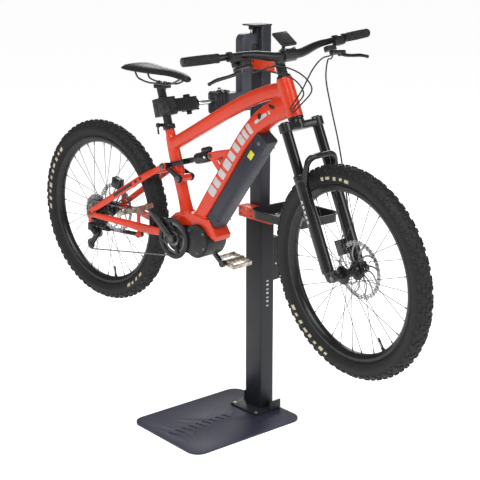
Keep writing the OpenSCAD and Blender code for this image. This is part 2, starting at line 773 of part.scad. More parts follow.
module shock_body() {
    color(black) on_bike() difference() {
        union() {
            aim(link_pivot, shock_front) {
                cylinder_from(21, 146, 214);
                cylinder_from(10, 213, shock_len);
            }
            across(shock_front, 11, -11.6, 11.6);
            aim(link_pivot, shock_front) translate([-24, 0, 0]) cylinder_from(11, 186, 222);
        }
        aim(link_pivot, shock_front) cylinder_from(8 + fit, 140, 212);
        across(shock_front, 5 + fit, -60, 60);
    }
}

// ---------- wheels ----------
module tyre() {
    rotate([90, 0, 0]) rotate_extrude($fn = 96) difference() {
        translate([tyre_r - tyre_section, 0]) circle(tyre_section);
        translate([tyre_r - tyre_section, 0]) circle(tyre_section - 3.2);
        translate([0, -50]) square([rim_r + 1, 100]);
    }
}
module rim() {
    w = 19;
    rotate([90, 0, 0]) rotate_extrude($fn = 96) difference() {
        polygon([[rim_inner, -9], [rim_inner, 9], [rim_r - 8, w], [rim_r + 0.6, w],
            [rim_r + 0.6, -w], [rim_r - 8, -w]]);
        polygon([[rim_inner + 2, -7], [rim_inner + 2, 7], [rim_r - 8, w - 2.5], [rim_r + 2, w - 2.5],
            [rim_r + 2, -w + 2.5], [rim_r - 8, -w + 2.5]]);
    }
}
module spoke_set() {
    for (i = [0:spokes - 1]) {
        side = i % 2 == 0 ? 1 : -1;
        lead = i % 4 < 2 ? 1 : -1;
        a = 360 * i / spokes;
        b = a + lead * 62;
        y = side * (30 + lead * 1.3);
        rod_between([hub_flange_r * cos(b), y, hub_flange_r * sin(b)],
            [(rim_inner + 1) * cos(a), side * 3, (rim_inner + 1) * sin(a)], spoke_r);
    }
}
module hub(half, body_r) {
    difference() {
        union() {
            across([0, 0], body_r, -30, 30);
            for (y = [-32.6, 28.2]) across([0, 0], hub_flange_r + 3, y, y + 4.4);
            across([0, 0], hub_core_r, -half.x, half.y);
        }
        across([0, 0], axle_r + fit, -100, 100);
    }
}
module rotor() {
    difference() {
        across([0, 0], rotor_r, 52, 53.9);
        for (i = [0:5]) rotate_about([0, 0], 60 * i) translate([34, 40, -14]) cube([40, 30, 28]);
        across([0, 0], hub_core_r + fit, 40, 60);
    }
}
module rear_tyre() { color(black) on_bike() tyre(); }
module rear_rim() { color(black) on_bike() rim(); }
module rear_spokes() { color("#222224") on_bike() spoke_set(); }
module rear_hub() {
    color(black) on_bike() {
        hub([36, 70], 16);
        rotor();
    }
}
module on_front_axle() { on_fork() translate([fork_offset, 0, 0]) children(); }
module front_tyre() { color(black) on_front_axle() tyre(); }
module front_rim() { color(black) on_front_axle() rim(); }
module front_spokes() { color("#222224") on_front_axle() spoke_set(); }
module front_hub() {
    color("#5a5a5e") on_front_axle() {
        hub([leg_y - 13, leg_y - 13], 17);
        rotor_front();
    }
}
module rotor_front() {
    translate([0, -10.5, 0]) difference() {
        rotor();
        across([0, 0], hub_core_r + fit, 40, 60);
    }
    translate([0, -10.5, 0]) difference() {
        across([0, 0], 24, 52.2, 53.7);
        across([0, 0], hub_core_r - 0.1, 40, 60);
    }
}

// ---------- fork and cockpit ----------
leg_f = 18;          // fork tubes ahead of the steering axis
lower_r = stanchion_r + lowers_wall;
leg_y = lower_r + 44.5;
module fork_crown() {
    color(black) on_fork() {
        cylinder_from(14.3, head_low - 20, stem_s + 20);
        cylinder_from(25, head_low - 18, head_low - 8 - gap);
        hull() for (y = [-1, 1], f = [0, 1]) translate([f * leg_f, y * leg_y * f, head_low - 46])
            cylinder(r = lower_r + 0.5 + f, h = 30, $fn = 32);
        for (y = [-1, 1]) translate([leg_f, y * leg_y, 0]) difference() {
            cylinder_from(stanchion_r, 150, head_low - 12);
            cylinder_from(stanchion_r - 2.5, 140, head_low - 14);
        }
    }
}
module fork_lowers() {
    color(black) on_fork() difference() {
        union() {
            for (y = [-1, 1]) translate([leg_f, y * leg_y, 0]) {
                cylinder_from(lower_r, 20, 348);
                cylinder_from(lower_r + 1.5, 330, 352);
            }
            for (y = [-1, 1]) translate([leg_f - 6, y * leg_y - 9, -16])
                cube([fork_offset - leg_f + 22, 18, 44]);
            for (y = [-1, 1]) hull() {
                translate([leg_f + 8, y * leg_y, 318]) cube([34, 20, 26], center = true);
                translate([leg_f + 54, y * 44, 392]) cube([22, 20, 22], center = true);
            }
            translate([leg_f + 54, 0, 394]) cube([22, 96, 20], center = true);
            translate([fork_offset, 0, 0]) across([0, 0], axle_r, -leg_y - 13, leg_y + 13);
            translate([fork_offset, 0, 0]) both_sides() across([0, 0], axle_r + 4, leg_y + 9, leg_y + 14);
            caliper_front();
        }
        for (y = [-1, 1]) translate([leg_f, y * leg_y, 0]) cylinder_from(stanchion_r + fit, 26, 420);
    }
}
module caliper_front() {
    difference() {
        translate([leg_f - 46, 30, 62]) cube([30, 34, 52]);
        translate([fork_offset, 0, 0]) across([0, 0], rotor_r + 1.5, 39.2, 45.7);
    }
    translate([leg_f - 24, 55, 66]) cube([20, 8, 40]);
}
module stem() {
    color(black) on_fork() difference() {
        union() {
            cylinder_from(17, head_low + head_len + 9 + gap, stem_s - 20);
            cylinder_from(18.5, stem_s - 20, stem_s + 20);
            cylinder_from(18.5, stem_s + 20.1, stem_s + 24);
            translate([28, 0, stem_s]) cube([44, 34, 34], center = true);
            translate([55, -26, stem_s]) rotate([-90, 0, 0]) cylinder(r = 23, h = 52);
            display();
        }
        cylinder_from(14.35, 600, stem_s + 20.05);
        translate([55, -40, stem_s]) rotate([-90, 0, 0]) cylinder(r = 15.9, h = 80);
    }
}
module display() {
    translate([60, 0, stem_s + 52]) rotate([0, 56, 0]) translate([-34, -30, -5]) cube([66, 60, 10]);
    translate([40, -6, stem_s + 20]) cube([12, 12, 30]);
}
bar_half = [[55, 0, 0], [55, 46, 0], [54, 76, 5], [51, 130, 18], [47, 190, 25], [26, bar_w / 2, 37]];
bar_path = concat([for (i = [5:-1:1]) [bar_half[i].x, -bar_half[i].y, bar_half[i].z]], bar_half);
bar_size = [11, 11, 12, 15.8, 15.8, 15.8, 15.8, 15.8, 12, 11, 11];
module handlebar() {
    color(black) on_fork() translate([0, 0, stem_s]) {
        sweep(bar_path, [for (r = bar_size) [r, r]], 2.2, 16, 1, [1, 0, 0]);
    }
}
module grips() {
    color(black) on_fork() translate([0, 0, stem_s]) both_sides() {
        sweep(grip_path, [16, 16], 4.7, 20, 1, [1, 0, 0]);
        translate(on_bar(bar_w / 2 + 1)) rotate([-90, 0, 5]) cylinder(r = 15.5, h = 3);
    }
}
function on_bar(y) = let (a = bar_half[4], b = bar_half[5], t = (y - a.y) / (b.y - a.y)) a + (b - a) * t;
grip_path = [on_bar(262), on_bar(bar_w / 2 - 1)];
module control_half() {
    c = on_bar(222);
    translate([0, 0, stem_s]) {
        difference() {
            union() {
                rod_between(on_bar(215), on_bar(229), 16);
                translate([c.x + 8, 216, c.z - 24]) cube([12, 12, 14]);
            }
            rod_between(on_bar(200), on_bar(245), 11.05);
        }
        translate([c.x + 15, 196, c.z - 24]) cube([16, 40, 20]);
        translate([c.x + 4, 160, c.z - 36]) cube([18, 40, 16]);
        translate([c.x - 16, 176, c.z - 34]) cube([22, 36, 14]);
    }
}
module controls() {
    color(black) on_fork() both_sides() control_half();
}
module brake_lever(side) {
    s = lever_s;
    pts = [[66, 206, s - 12], [64, 232, s - 20], [60, 262, s - 24], [56, 300, s - 27], [54, 330, s - 34]];
    on_fork() scale_side(side) {
        sweep(pts, [[6, 5], [6, 5], [6, 4], [6, 4], [6, 4]], 0, 10, 0.9, [1, 0, 0]);
        translate([66, 206, s - 12]) rotate([0, 90, 0]) cylinder(r = 8, h = 10, center = true);
        translate([54, 332, s - 35]) sphere(r = 6.5, $fn = 24);
    }
}
module scale_side(side) {
    if (side > 0) children();
    else mirror([0, 1, 0]) children();
}
module brake_lever_right() { color(black) brake_lever(-1); }
module brake_lever_left() { color(black) brake_lever(1); }

// brake hoses and wires, held at the bar and at the frame or fork
hose_routes = [
    [[60, -165, 712], [80, -110, 690], [95, -40, 650], [88, -10, 600], [62, -32, 572], [30, -34, 560]],
    [[56, -170, 700], [96, -90, 700], [112, -20, 660], [104, 14, 604], [66, -22, 566], [30, -31, 553]],
    [[60, 165, 712], [92, 100, 700], [114, 30, 664], [98, -20, 610], [60, -38, 580], [28, -36, 567]],
    [[58, 170, 702], [96, 120, 690], [104, 84, 630], [88, 84, 540], [64, 92, 420], [40, 92, 300],
        [8, 94, 190], [-6, 84, 150], [-14, 58, 117.5]]];
module hoses() {
    color(black) on_fork() for (r = hose_routes) sweep(r, [2.5, 2.5], 0, 8, 1, [1, 0.1, 0]);
}

base_plate();
foot_flange();
foot_bolts();
lower_column();
column_bushing();
drive_box();
lift_actuator();
lift_rod();
upper_column();
column_cap();
lock_knob();
carriage();
slide_block();
tray_brackets();
tool_tray();
clamp_head();
head_lever();
clamp_rod();
clamp_body();
clamp_jaw();
jaw_knob();
main_frame();
frame_fasteners();
battery();
motor();
headset();
seat_qr_lever();
seat_post();
saddle();
chainring();
cranks();
pedal_right();
pedal_left();
chain();
cassette();
chainstays();
seatstays();
rear_axle_and_brake();
derailleur();
rocker_link();
shock_body();
shock_shaft();
kickstand();
rear_tyre();
rear_rim();
rear_spokes();
rear_hub();
fork_crown();
fork_lowers();
stem();
handlebar();
grips();
controls();
brake_lever_right();
brake_lever_left();
hoses();
front_tyre();
front_rim();
front_spokes();
front_hub();
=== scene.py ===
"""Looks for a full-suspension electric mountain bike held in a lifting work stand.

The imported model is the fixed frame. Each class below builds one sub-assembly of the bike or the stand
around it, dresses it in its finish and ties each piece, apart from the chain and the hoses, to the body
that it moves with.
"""
import json
import logging
import math
from collections.abc import Iterable, Sequence
from dataclasses import dataclass, field
from enum import Enum

import bmesh
import bpy
from mathutils import Matrix, Vector

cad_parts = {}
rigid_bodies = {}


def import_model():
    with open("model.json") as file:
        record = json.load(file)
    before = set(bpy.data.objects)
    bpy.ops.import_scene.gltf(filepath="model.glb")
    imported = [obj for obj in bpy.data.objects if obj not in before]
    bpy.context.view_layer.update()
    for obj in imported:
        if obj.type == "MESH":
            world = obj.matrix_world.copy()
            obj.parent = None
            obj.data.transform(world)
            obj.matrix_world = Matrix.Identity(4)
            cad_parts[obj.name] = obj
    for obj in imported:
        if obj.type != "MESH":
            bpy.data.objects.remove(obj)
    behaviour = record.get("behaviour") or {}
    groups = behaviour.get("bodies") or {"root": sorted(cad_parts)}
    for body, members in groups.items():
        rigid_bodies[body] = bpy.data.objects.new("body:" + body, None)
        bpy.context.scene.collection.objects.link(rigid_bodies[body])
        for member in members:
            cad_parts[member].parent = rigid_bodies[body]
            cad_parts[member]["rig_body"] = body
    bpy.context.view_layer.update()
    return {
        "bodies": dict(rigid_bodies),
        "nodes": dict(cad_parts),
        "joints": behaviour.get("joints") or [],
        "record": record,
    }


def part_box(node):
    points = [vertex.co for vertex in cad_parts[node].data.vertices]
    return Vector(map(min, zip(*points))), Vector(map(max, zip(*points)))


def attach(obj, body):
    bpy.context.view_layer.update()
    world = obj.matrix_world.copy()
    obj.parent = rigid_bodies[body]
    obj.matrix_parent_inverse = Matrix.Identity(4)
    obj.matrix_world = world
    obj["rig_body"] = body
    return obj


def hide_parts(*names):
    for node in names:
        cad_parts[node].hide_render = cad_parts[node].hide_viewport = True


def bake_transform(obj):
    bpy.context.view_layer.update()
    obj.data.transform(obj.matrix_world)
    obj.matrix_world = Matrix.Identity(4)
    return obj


LOG = logging.getLogger("bike_on_stand")
MM = 0.001
TURN = 2 * math.pi
Point = tuple[float, float, float]
Flat = tuple[float, float]


# ---------------------------------------------------------------- places

@dataclass(frozen=True)
class Place:
    """A local frame in millimetres inside the row frame in metres."""

    matrix: Matrix

    def at(self, x: float, y: float, z: float) -> Vector:
        """Returns a local point in the row frame.

        Args:
            x: distance along the local X axis, in millimetres.
            y: distance along the local Y axis, in millimetres.
            z: distance along the local Z axis, in millimetres.

        Returns:
            The point in metres.
        """
        return self.matrix @ Vector((x, y, z))

    def shifted(self, x: float, y: float, z: float) -> "Place":
        """Returns this frame moved by a local offset in millimetres."""
        return Place(self.matrix @ Matrix.Translation((x, y, z)))

    def turned(self, degrees: float, axis: str) -> "Place":
        """Returns this frame turned about one of its own axes."""
        return Place(self.matrix @ Matrix.Rotation(math.radians(degrees), 4, axis))

    def aimed(self, start: Flat, end: Flat, y: float = 0.0) -> "Place":
        """Returns a frame at start whose Z runs towards end, both in the local XZ plane."""
        angle = math.degrees(math.atan2(end[0] - start[0], end[1] - start[1]))
        return self.shifted(start[0], y, start[1]).turned(angle, "Y")


def row_place() -> Place:
    """Returns the row frame itself, in millimetres."""
    return Place(Matrix.Scale(MM, 4))


def joint_named(frame: dict, name: str) -> dict:
    """Returns the record's joint of that name.

    Args:
        name: the joint's name.

    Returns:
        The joint's entry.
    """
    return next(j for j in frame["joints"] if j["name"] == name)


def basis_place(origin: Vector, x: Vector, y: Vector, z: Vector) -> Place:
    """Returns a millimetre frame with the given origin and unit axes."""
    turn = Matrix((x, y, z)).transposed().to_4x4()
    return Place(Matrix.Translation(origin) @ turn @ Matrix.Scale(MM, 4))


def bike_place(frame: dict) -> Place:
    """Returns the bike's frame: X forward from the rear axle, Y to its left, Z up."""
    axle = joint_named(frame, "rear_wheel_spin")
    left = Vector(axle["axis"]).normalized()
    up = Vector((0, 0, 1))
    return basis_place(Vector(axle["pos_m"]), left.cross(up), left, up)


def fork_place(frame: dict) -> Place:
    """Returns the fork's frame: Z up the steering axis, X forward, origin beside the front axle."""
    wheel = joint_named(frame, "front_wheel_spin")
    up = Vector(joint_named(frame, "steer")["axis"]).normalized()
    left = Vector(wheel["axis"]).normalized()
    head = Vector(joint_named(frame, "steer")["pos_m"])
    axle = Vector(wheel["pos_m"])
    origin = head + up * (axle - head).dot(up)
    return basis_place(origin, left.cross(up), left, up)


# ---------------------------------------------------------------- finishes

def socket_group(name: str, inputs: dict[str, float], outputs: dict[str, str]) -> tuple:
    """Starts a shader node group.

    Args:
        name: the group's name.
        inputs: default of each float input.
        outputs: socket type of each output.

    Returns:
        The group, its input node and its output node.
    """
    group = bpy.data.node_groups.new(name, "ShaderNodeTree")
    for key, default in inputs.items():
        socket = group.interface.new_socket(key, in_out="INPUT", socket_type="NodeSocketFloat")
        socket.default_value = default
    for key, kind in outputs.items():
        group.interface.new_socket(key, in_out="OUTPUT", socket_type=kind)
    return group, group.nodes.new("NodeGroupInput"), group.nodes.new("NodeGroupOutput")


def noise_node(tree: bpy.types.NodeTree, scale: float, detail: float) -> bpy.types.Node:
    """Adds a noise texture that follows the object's own coordinates."""
    node = tree.nodes.new("ShaderNodeTexNoise")
    node.inputs["Scale"].default_value = scale
    node.inputs["Detail"].default_value = detail
    coordinate = tree.nodes.new("ShaderNodeTexCoord")
    tree.links.new(coordinate.outputs["Object"], node.inputs["Vector"])
    return node


def ranged(tree: bpy.types.NodeTree, source: bpy.types.NodeSocket, span: Flat,
           result: Flat) -> bpy.types.NodeSocket:
    """Maps a value from one span to another.

    Args:
        tree: the node tree to add to.
        source: the socket that gives the value.
        span: the low and high end of the value.
        result: what those ends become.

    Returns:
        The mapped value's socket.
    """
    node = tree.nodes.new("ShaderNodeMapRange")
    for key, value in zip(("From Min", "From Max", "To Min", "To Max"), span + result):
        node.inputs[key].default_value = value
    tree.links.new(source, node.inputs["Value"])
    return node.outputs["Result"]


def math_node(tree: bpy.types.NodeTree, operation: str, *values: object) -> bpy.types.NodeSocket:
    """Adds a math node whose inputs are sockets or numbers."""
    node = tree.nodes.new("ShaderNodeMath")
    node.operation = operation
    node.use_clamp = operation == "ADD"
    for socket, value in zip(node.inputs, values):
        if isinstance(value, (int, float)):
            socket.default_value = value
        else:
            tree.links.new(value, socket)
    return node.outputs[0]


def edge_wear_and_highlight_group() -> bpy.types.NodeTree:
    """Builds the group that marks convex edges: real scuffing on most finishes, a painted highlight on
    the frame paint.
    """
    group, inside, out = socket_group("edge wear", {"Amount": 0.5, "Scale": 60.0},
                                      {"Mask": "NodeSocketFloat"})
    geometry = group.nodes.new("ShaderNodeNewGeometry")
    edge = ranged(group, geometry.outputs["Pointiness"], (0.51, 0.58), (0.0, 1.0))
    noise = noise_node(group, 60.0, 3.0)
    group.links.new(inside.outputs["Scale"], noise.inputs["Scale"])
    patch = ranged(group, noise.outputs["Fac"], (0.4, 0.65), (0.0, 1.0))
    worn_and_lit_edges = math_node(group, "MULTIPLY", edge, patch)
    group.links.new(math_node(group, "MULTIPLY", worn_and_lit_edges, inside.outputs["Amount"]),
                    out.inputs["Mask"])
    return group


def grain_group() -> bpy.types.NodeTree:
    """Builds the group of fine grain: a height for bump and a slow change of tone."""
    group, inside, out = socket_group("grain", {"Scale": 900.0, "Tone Scale": 9.0},
                                      {"Height": "NodeSocketFloat", "Tone": "NodeSocketFloat"})
    fine = noise_node(group, 900.0, 4.0)
    slow = noise_node(group, 9.0, 3.0)
    group.links.new(inside.outputs["Scale"], fine.inputs["Scale"])
    group.links.new(inside.outputs["Tone Scale"], slow.inputs["Scale"])
    group.links.new(fine.outputs["Fac"], out.inputs["Height"])
    group.links.new(ranged(group, slow.outputs["Fac"], (0.3, 0.7), (0.0, 1.0)), out.inputs["Tone"])
    return group


def dust_group() -> bpy.types.NodeTree:
    """Builds the group of a thin dust that settles on faces that look up."""
    group, inside, out = socket_group("dust", {"Amount": 0.3}, {"Mask": "NodeSocketFloat"})
    geometry = group.nodes.new("ShaderNodeNewGeometry")
    split = group.nodes.new("ShaderNodeSeparateXYZ")
    group.links.new(geometry.outputs["Normal"], split.inputs[0])
    upward = ranged(group, split.outputs["Z"], (0.2, 1.0), (0.0, 1.0))
    noise = noise_node(group, 35.0, 5.0)
    patch = ranged(group, noise.outputs["Fac"], (0.35, 0.75), (0.0, 1.0))
    settled = math_node(group, "MULTIPLY", upward, patch)
    group.links.new(math_node(group, "MULTIPLY", settled, inside.outputs["Amount"]),
                    out.inputs["Mask"])
    return group


@dataclass
class Effects:
    """The node groups that the materials share."""

    edge_wear_and_highlight: bpy.types.NodeTree = field(default_factory=edge_wear_and_highlight_group)
    grain: bpy.types.NodeTree = field(default_factory=grain_group)
    dust: bpy.types.NodeTree = field(default_factory=dust_group)


@dataclass(frozen=True)
class Finish:
    """One surface finish and its edge colour: scuffing on most finishes, a painted highlight on the
    frame paint.

    Each colour is linear RGB. The grain's scale is in waves over a metre.
    """

    name: str
    colour: Point
    roughness: float
    metallic: float = 0.0
    coat: float = 0.0
    gloss: float = 0.35
    wear_and_highlight_colour: Point = (0.3, 0.3, 0.3)
    wear_and_highlight: float = 0.3
    grain: float = 900.0
    bump: float = 0.1
    tone: float = 0.15
    dust: float = 0.05
    slot: str = "black_alloy"

    def build(self, effects: Effects) -> bpy.types.Material:
        """Builds the material.

        Args:
            effects: the shared node groups.

        Returns:
            The new material.
        """
        material = bpy.data.materials.new(self.name)
        material.use_nodes = True
        tree = material.node_tree
        shader = tree.nodes["Principled BSDF"]
        shader.inputs["Metallic"].default_value = self.metallic
        shader.inputs["Coat Weight"].default_value = self.coat
        shader.inputs["Coat Roughness"].default_value = 0.08
        shader.inputs["Specular IOR Level"].default_value = self.gloss
        wear_and_highlight = tree.nodes.new("ShaderNodeGroup")
        wear_and_highlight.node_tree = effects.edge_wear_and_highlight
        wear_and_highlight.inputs["Amount"].default_value = self.wear_and_highlight
        grain = tree.nodes.new("ShaderNodeGroup")
        grain.node_tree = effects.grain
        grain.inputs["Scale"].default_value = self.grain
        dust = tree.nodes.new("ShaderNodeGroup")
        dust.node_tree = effects.dust
        dust.inputs["Amount"].default_value = self.dust
        dark = tuple(c * (1 - self.tone) for c in self.colour)
        light = tuple(min(1.0, c * (1 + self.tone)) for c in self.colour)
        base = self.mixed(tree, grain.outputs["Tone"], dark, light)
        # Convex edges take the edge colour: scuffing on most finishes, a painted highlight on the frame
        # paint.
        worn_and_lit = self.mixed(tree, wear_and_highlight.outputs["Mask"], base, self.wear_and_highlight_colour)
        dusty = self.mixed(tree, dust.outputs["Mask"], worn_and_lit, (0.35, 0.34, 0.32))
        tree.links.new(dusty, shader.inputs["Base Color"])
        rough = ranged(tree, grain.outputs["Tone"], (0.0, 1.0),
                       (max(0.03, self.roughness - 0.06), self.roughness + 0.06))
        tree.links.new(math_node(tree, "ADD", rough, dust.outputs["Mask"]),
                       shader.inputs["Roughness"])
        relief = tree.nodes.new("ShaderNodeBump")
        relief.inputs["Strength"].default_value = self.bump
        relief.inputs["Distance"].default_value = 0.0004
        tree.links.new(grain.outputs["Height"], relief.inputs["Height"])
        tree.links.new(relief.outputs["Normal"], shader.inputs["Normal"])
        return material

    @staticmethod
    def mixed(tree: bpy.types.NodeTree, factor: bpy.types.NodeSocket, low: object,
              high: object) -> bpy.types.NodeSocket:
        """Mixes two colours, each a socket or plain numbers, by a factor."""
        node = tree.nodes.new("ShaderNodeMix")
        node.data_type = "RGBA"
        tree.links.new(factor, node.inputs["Factor"])
        for socket, value in ((node.inputs[6], low), (node.inputs[7], high)):
            if isinstance(value, tuple):
                socket.default_value = (*value, 1.0)
            else:
                tree.links.new(value, socket)
        return node.outputs[2]


class Look(Enum):
    """Every finish on the bike and its stand."""

    # The frame's edge colour is a lighter orange of the same paint: a painted highlight along its convex
    # edges, not scuffing.
    FRAME = Finish("frame orange gloss", (0.64, 0.034, 0.005), 0.3, coat=0.45, wear_and_highlight=0.1, grain=2200,
                   bump=0.03, tone=0.05, dust=0.0, wear_and_highlight_colour=(0.85, 0.14, 0.06), slot="frame_paint")
    BRACKET = Finish("bracket orange coat", (0.70, 0.045, 0.006), 0.4, coat=0.15, wear_and_highlight=0.4, grain=1500,
                     tone=0.06, wear_and_highlight_colour=(0.5, 0.2, 0.1), slot="bracket_paint")
    MARK = Finish("frame mark grey", (0.50, 0.50, 0.49), 0.35, coat=0.3, wear_and_highlight=0.0, tone=0.04,
                  dust=0.0, slot="frame_paint")
    MARK_DARK = Finish("frame mark black", (0.01, 0.01, 0.012), 0.35, coat=0.3, wear_and_highlight=0.0, tone=0.04,
                       dust=0.0, slot="frame_paint")
    PLATE = Finish("plate navy powder coat", (0.030, 0.032, 0.058), 0.5, wear_and_highlight=0.0, grain=1800,
                   bump=0.25, tone=0.1, dust=0.03, slot="plate")
    COLUMN = Finish("column graphite coat", (0.016, 0.017, 0.022), 0.42, wear_and_highlight=0.0, grain=1800,
                    bump=0.2, tone=0.08, dust=0.02, slot="column")
    COLUMN_UPPER = Finish("upper column coat", (0.028, 0.030, 0.038), 0.36, wear_and_highlight=0.0, grain=1800,
                          bump=0.15, tone=0.08, dust=0.02, slot="column")
    CARRIAGE = Finish("carriage grey anodised", (0.060, 0.066, 0.082), 0.35, metallic=0.45,
                      wear_and_highlight=0.0, grain=1500, tone=0.08, dust=0.02, slot="carriage")
    BLACK_PART = Finish("black painted casting", (0.010, 0.010, 0.012), 0.42, wear_and_highlight=0.1, grain=1300,
                        bump=0.3, tone=0.2, dust=0.02, slot="black_part")
    ALLOY = Finish("black anodised alloy", (0.010, 0.010, 0.011), 0.32, metallic=0.2, coat=0.1,
                   wear_and_highlight=0.15, grain=1600, tone=0.2, dust=0.01, wear_and_highlight_colour=(0.12, 0.12, 0.12))
    FORK = Finish("fork black gloss", (0.009, 0.009, 0.010), 0.26, coat=0.4, wear_and_highlight=0.05, tone=0.15,
                  bump=0.04, dust=0.01)
    STANCHION = Finish("black hard anodised tube", (0.02, 0.02, 0.022), 0.12, metallic=0.7, coat=0.4,
                       wear_and_highlight=0.0, bump=0.02)
    PLASTIC = Finish("black moulded plastic", (0.011, 0.011, 0.012), 0.48, wear_and_highlight=0.1, grain=1400,
                     bump=0.35, tone=0.12, dust=0.01, slot="black_plastic",
                     wear_and_highlight_colour=(0.08, 0.08, 0.08))
    HOSE = Finish("black hose jacket", (0.012, 0.012, 0.012), 0.38, wear_and_highlight=0.1, grain=1500, bump=0.15,
                  slot="black_plastic")
    BATTERY = Finish("battery slate shell", (0.024, 0.026, 0.038), 0.4, wear_and_highlight=0.0, grain=1500,
                     bump=0.2, tone=0.06, dust=0.02, slot="battery_case")
    LABEL = Finish("plain yellow tab", (0.62, 0.58, 0.05), 0.45, wear_and_highlight=0.0, tone=0.05,
                   slot="battery_case")
    TYRE = Finish("tyre rubber", (0.010, 0.010, 0.0105), 0.66, wear_and_highlight=0.25, grain=700, bump=0.5,
                  tone=0.25, dust=0.03, wear_and_highlight_colour=(0.045, 0.044, 0.042), slot="tyre")
    SIDE_MARK = Finish("sidewall cream mark", (0.5, 0.44, 0.31), 0.6, wear_and_highlight=0.0, tone=0.1,
                       slot="tyre")
    RUBBER = Finish("grip rubber", (0.012, 0.012, 0.013), 0.6, wear_and_highlight=0.1, grain=900, bump=0.4,
                    tone=0.15, dust=0.01, slot="rubber")
    SADDLE = Finish("saddle black cover", (0.009, 0.009, 0.010), 0.46, wear_and_highlight=0.05, grain=1100,
                    bump=0.3, tone=0.1, dust=0.01, slot="saddle_cover")
    STITCH = Finish("saddle thread", (0.05, 0.05, 0.052), 0.6, wear_and_highlight=0.0, slot="saddle_cover")
    STEEL = Finish("dark steel", (0.12, 0.12, 0.125), 0.3, metallic=0.9, wear_and_highlight=0.5, grain=1500,
                   tone=0.25, slot="steel", wear_and_highlight_colour=(0.5, 0.5, 0.5))
    ROTOR = Finish("ground steel rotor", (0.33, 0.33, 0.34), 0.3, metallic=0.95, wear_and_highlight=0.4,
                   grain=2500, tone=0.25, slot="steel")
    SPOKE = Finish("black spoke wire", (0.03, 0.03, 0.031), 0.3, metallic=0.7, wear_and_highlight=0.2, slot="steel")
    CHROME = Finish("polished rod", (0.78, 0.78, 0.79), 0.09, metallic=1.0, wear_and_highlight=0.0, bump=0.01,
                    tone=0.03, dust=0.0, slot="polished")
    ZINC = Finish("zinc plated bolt", (0.55, 0.55, 0.56), 0.28, metallic=0.95, wear_and_highlight=0.3, tone=0.15,
                  slot="zinc")
    PEDAL = Finish("pedal bronze alloy", (0.27, 0.21, 0.15), 0.33, metallic=0.8, wear_and_highlight=0.8,
                   grain=1200, tone=0.25, wear_and_highlight_colour=(0.7, 0.68, 0.64), slot="pedal")
    SCREEN = Finish("display glass", (0.02, 0.021, 0.025), 0.12, coat=0.6, wear_and_highlight=0.0, bump=0.0,
                    tone=0.0, slot="black_plastic")


class Wardrobe:
    """Makes each finish's material once and hands it out."""

    def __init__(self) -> None:
        """Builds the shared node groups."""
        self.effects = Effects()
        self.made: dict[Look, bpy.types.Material] = {}

    def material(self, look: Look) -> bpy.types.Material:
        """Returns the material of a finish, built on first use."""
        if look not in self.made:
            self.made[look] = look.value.build(self.effects)
        return self.made[look]


# ---------------------------------------------------------------- mesh making

def ring_points(centre: Vector, u: Vector, v: Vector, half: Flat, sides: int,
                power: float) -> list[Vector]:
    """Returns a superellipse of points; power 1 is an ellipse and lower values are boxier.

    Args:
        centre: the middle of the ring.
        u: unit direction of the first half size.
        v: unit direction of the second half size.
        half: the two half sizes.
        sides: how many points.
        power: the exponent applied to the sine and the cosine.

    Returns:
        The points in order.
    """
    points = []
    for k in range(sides):
        angle = TURN * (k + 0.5) / sides
        c, s = math.cos(angle), math.sin(angle)
        points.append(centre + u * half[0] * math.copysign(abs(c) ** power, c)
                      + v * half[1] * math.copysign(abs(s) ** power, s))
    return points


def smooth_path(points: Sequence[Point], steps: int = 8) -> list[Vector]:
    """Returns a Catmull-Rom curve through the points.

    Args:
        points: the points that the curve passes through.
        steps: samples in each stretch.

    Returns:
        The samples, ends included.
    """
    p = [Vector(q) for q in points]
    p = [2 * p[0] - p[1], *p, 2 * p[-1] - p[-2]]
    path = []
    for i in range(1, len(p) - 2):
        for k in range(steps):
            t = k / steps
            path.append(0.5 * (2 * p[i] + (p[i + 1] - p[i - 1]) * t
                               + (2 * p[i - 1] - 5 * p[i] + 4 * p[i + 1] - p[i + 2]) * t * t
                               + (3 * p[i] - p[i - 1] - 3 * p[i + 1] + p[i + 2]) * t ** 3))
    return [*path, p[-2]]


def smooth_values(values: Sequence[Flat], steps: int = 8) -> list[Flat]:
    """Returns pairs of sizes sampled as smooth_path samples its points."""
    return [(v.x, v.y) for v in smooth_path([(a, b, 0.0) for a, b in values], steps)]


def circle_flat(centre: Flat, radius: float, start: float, end: float, steps: int) -> list[Flat]:
    """Returns points along an arc, with its angles in degrees."""
    angles = [math.radians(start + (end - start) * i / steps) for i in range(steps + 1)]
    return [(centre[0] + radius * math.cos(a), centre[1] + radius * math.sin(a)) for a in angles]


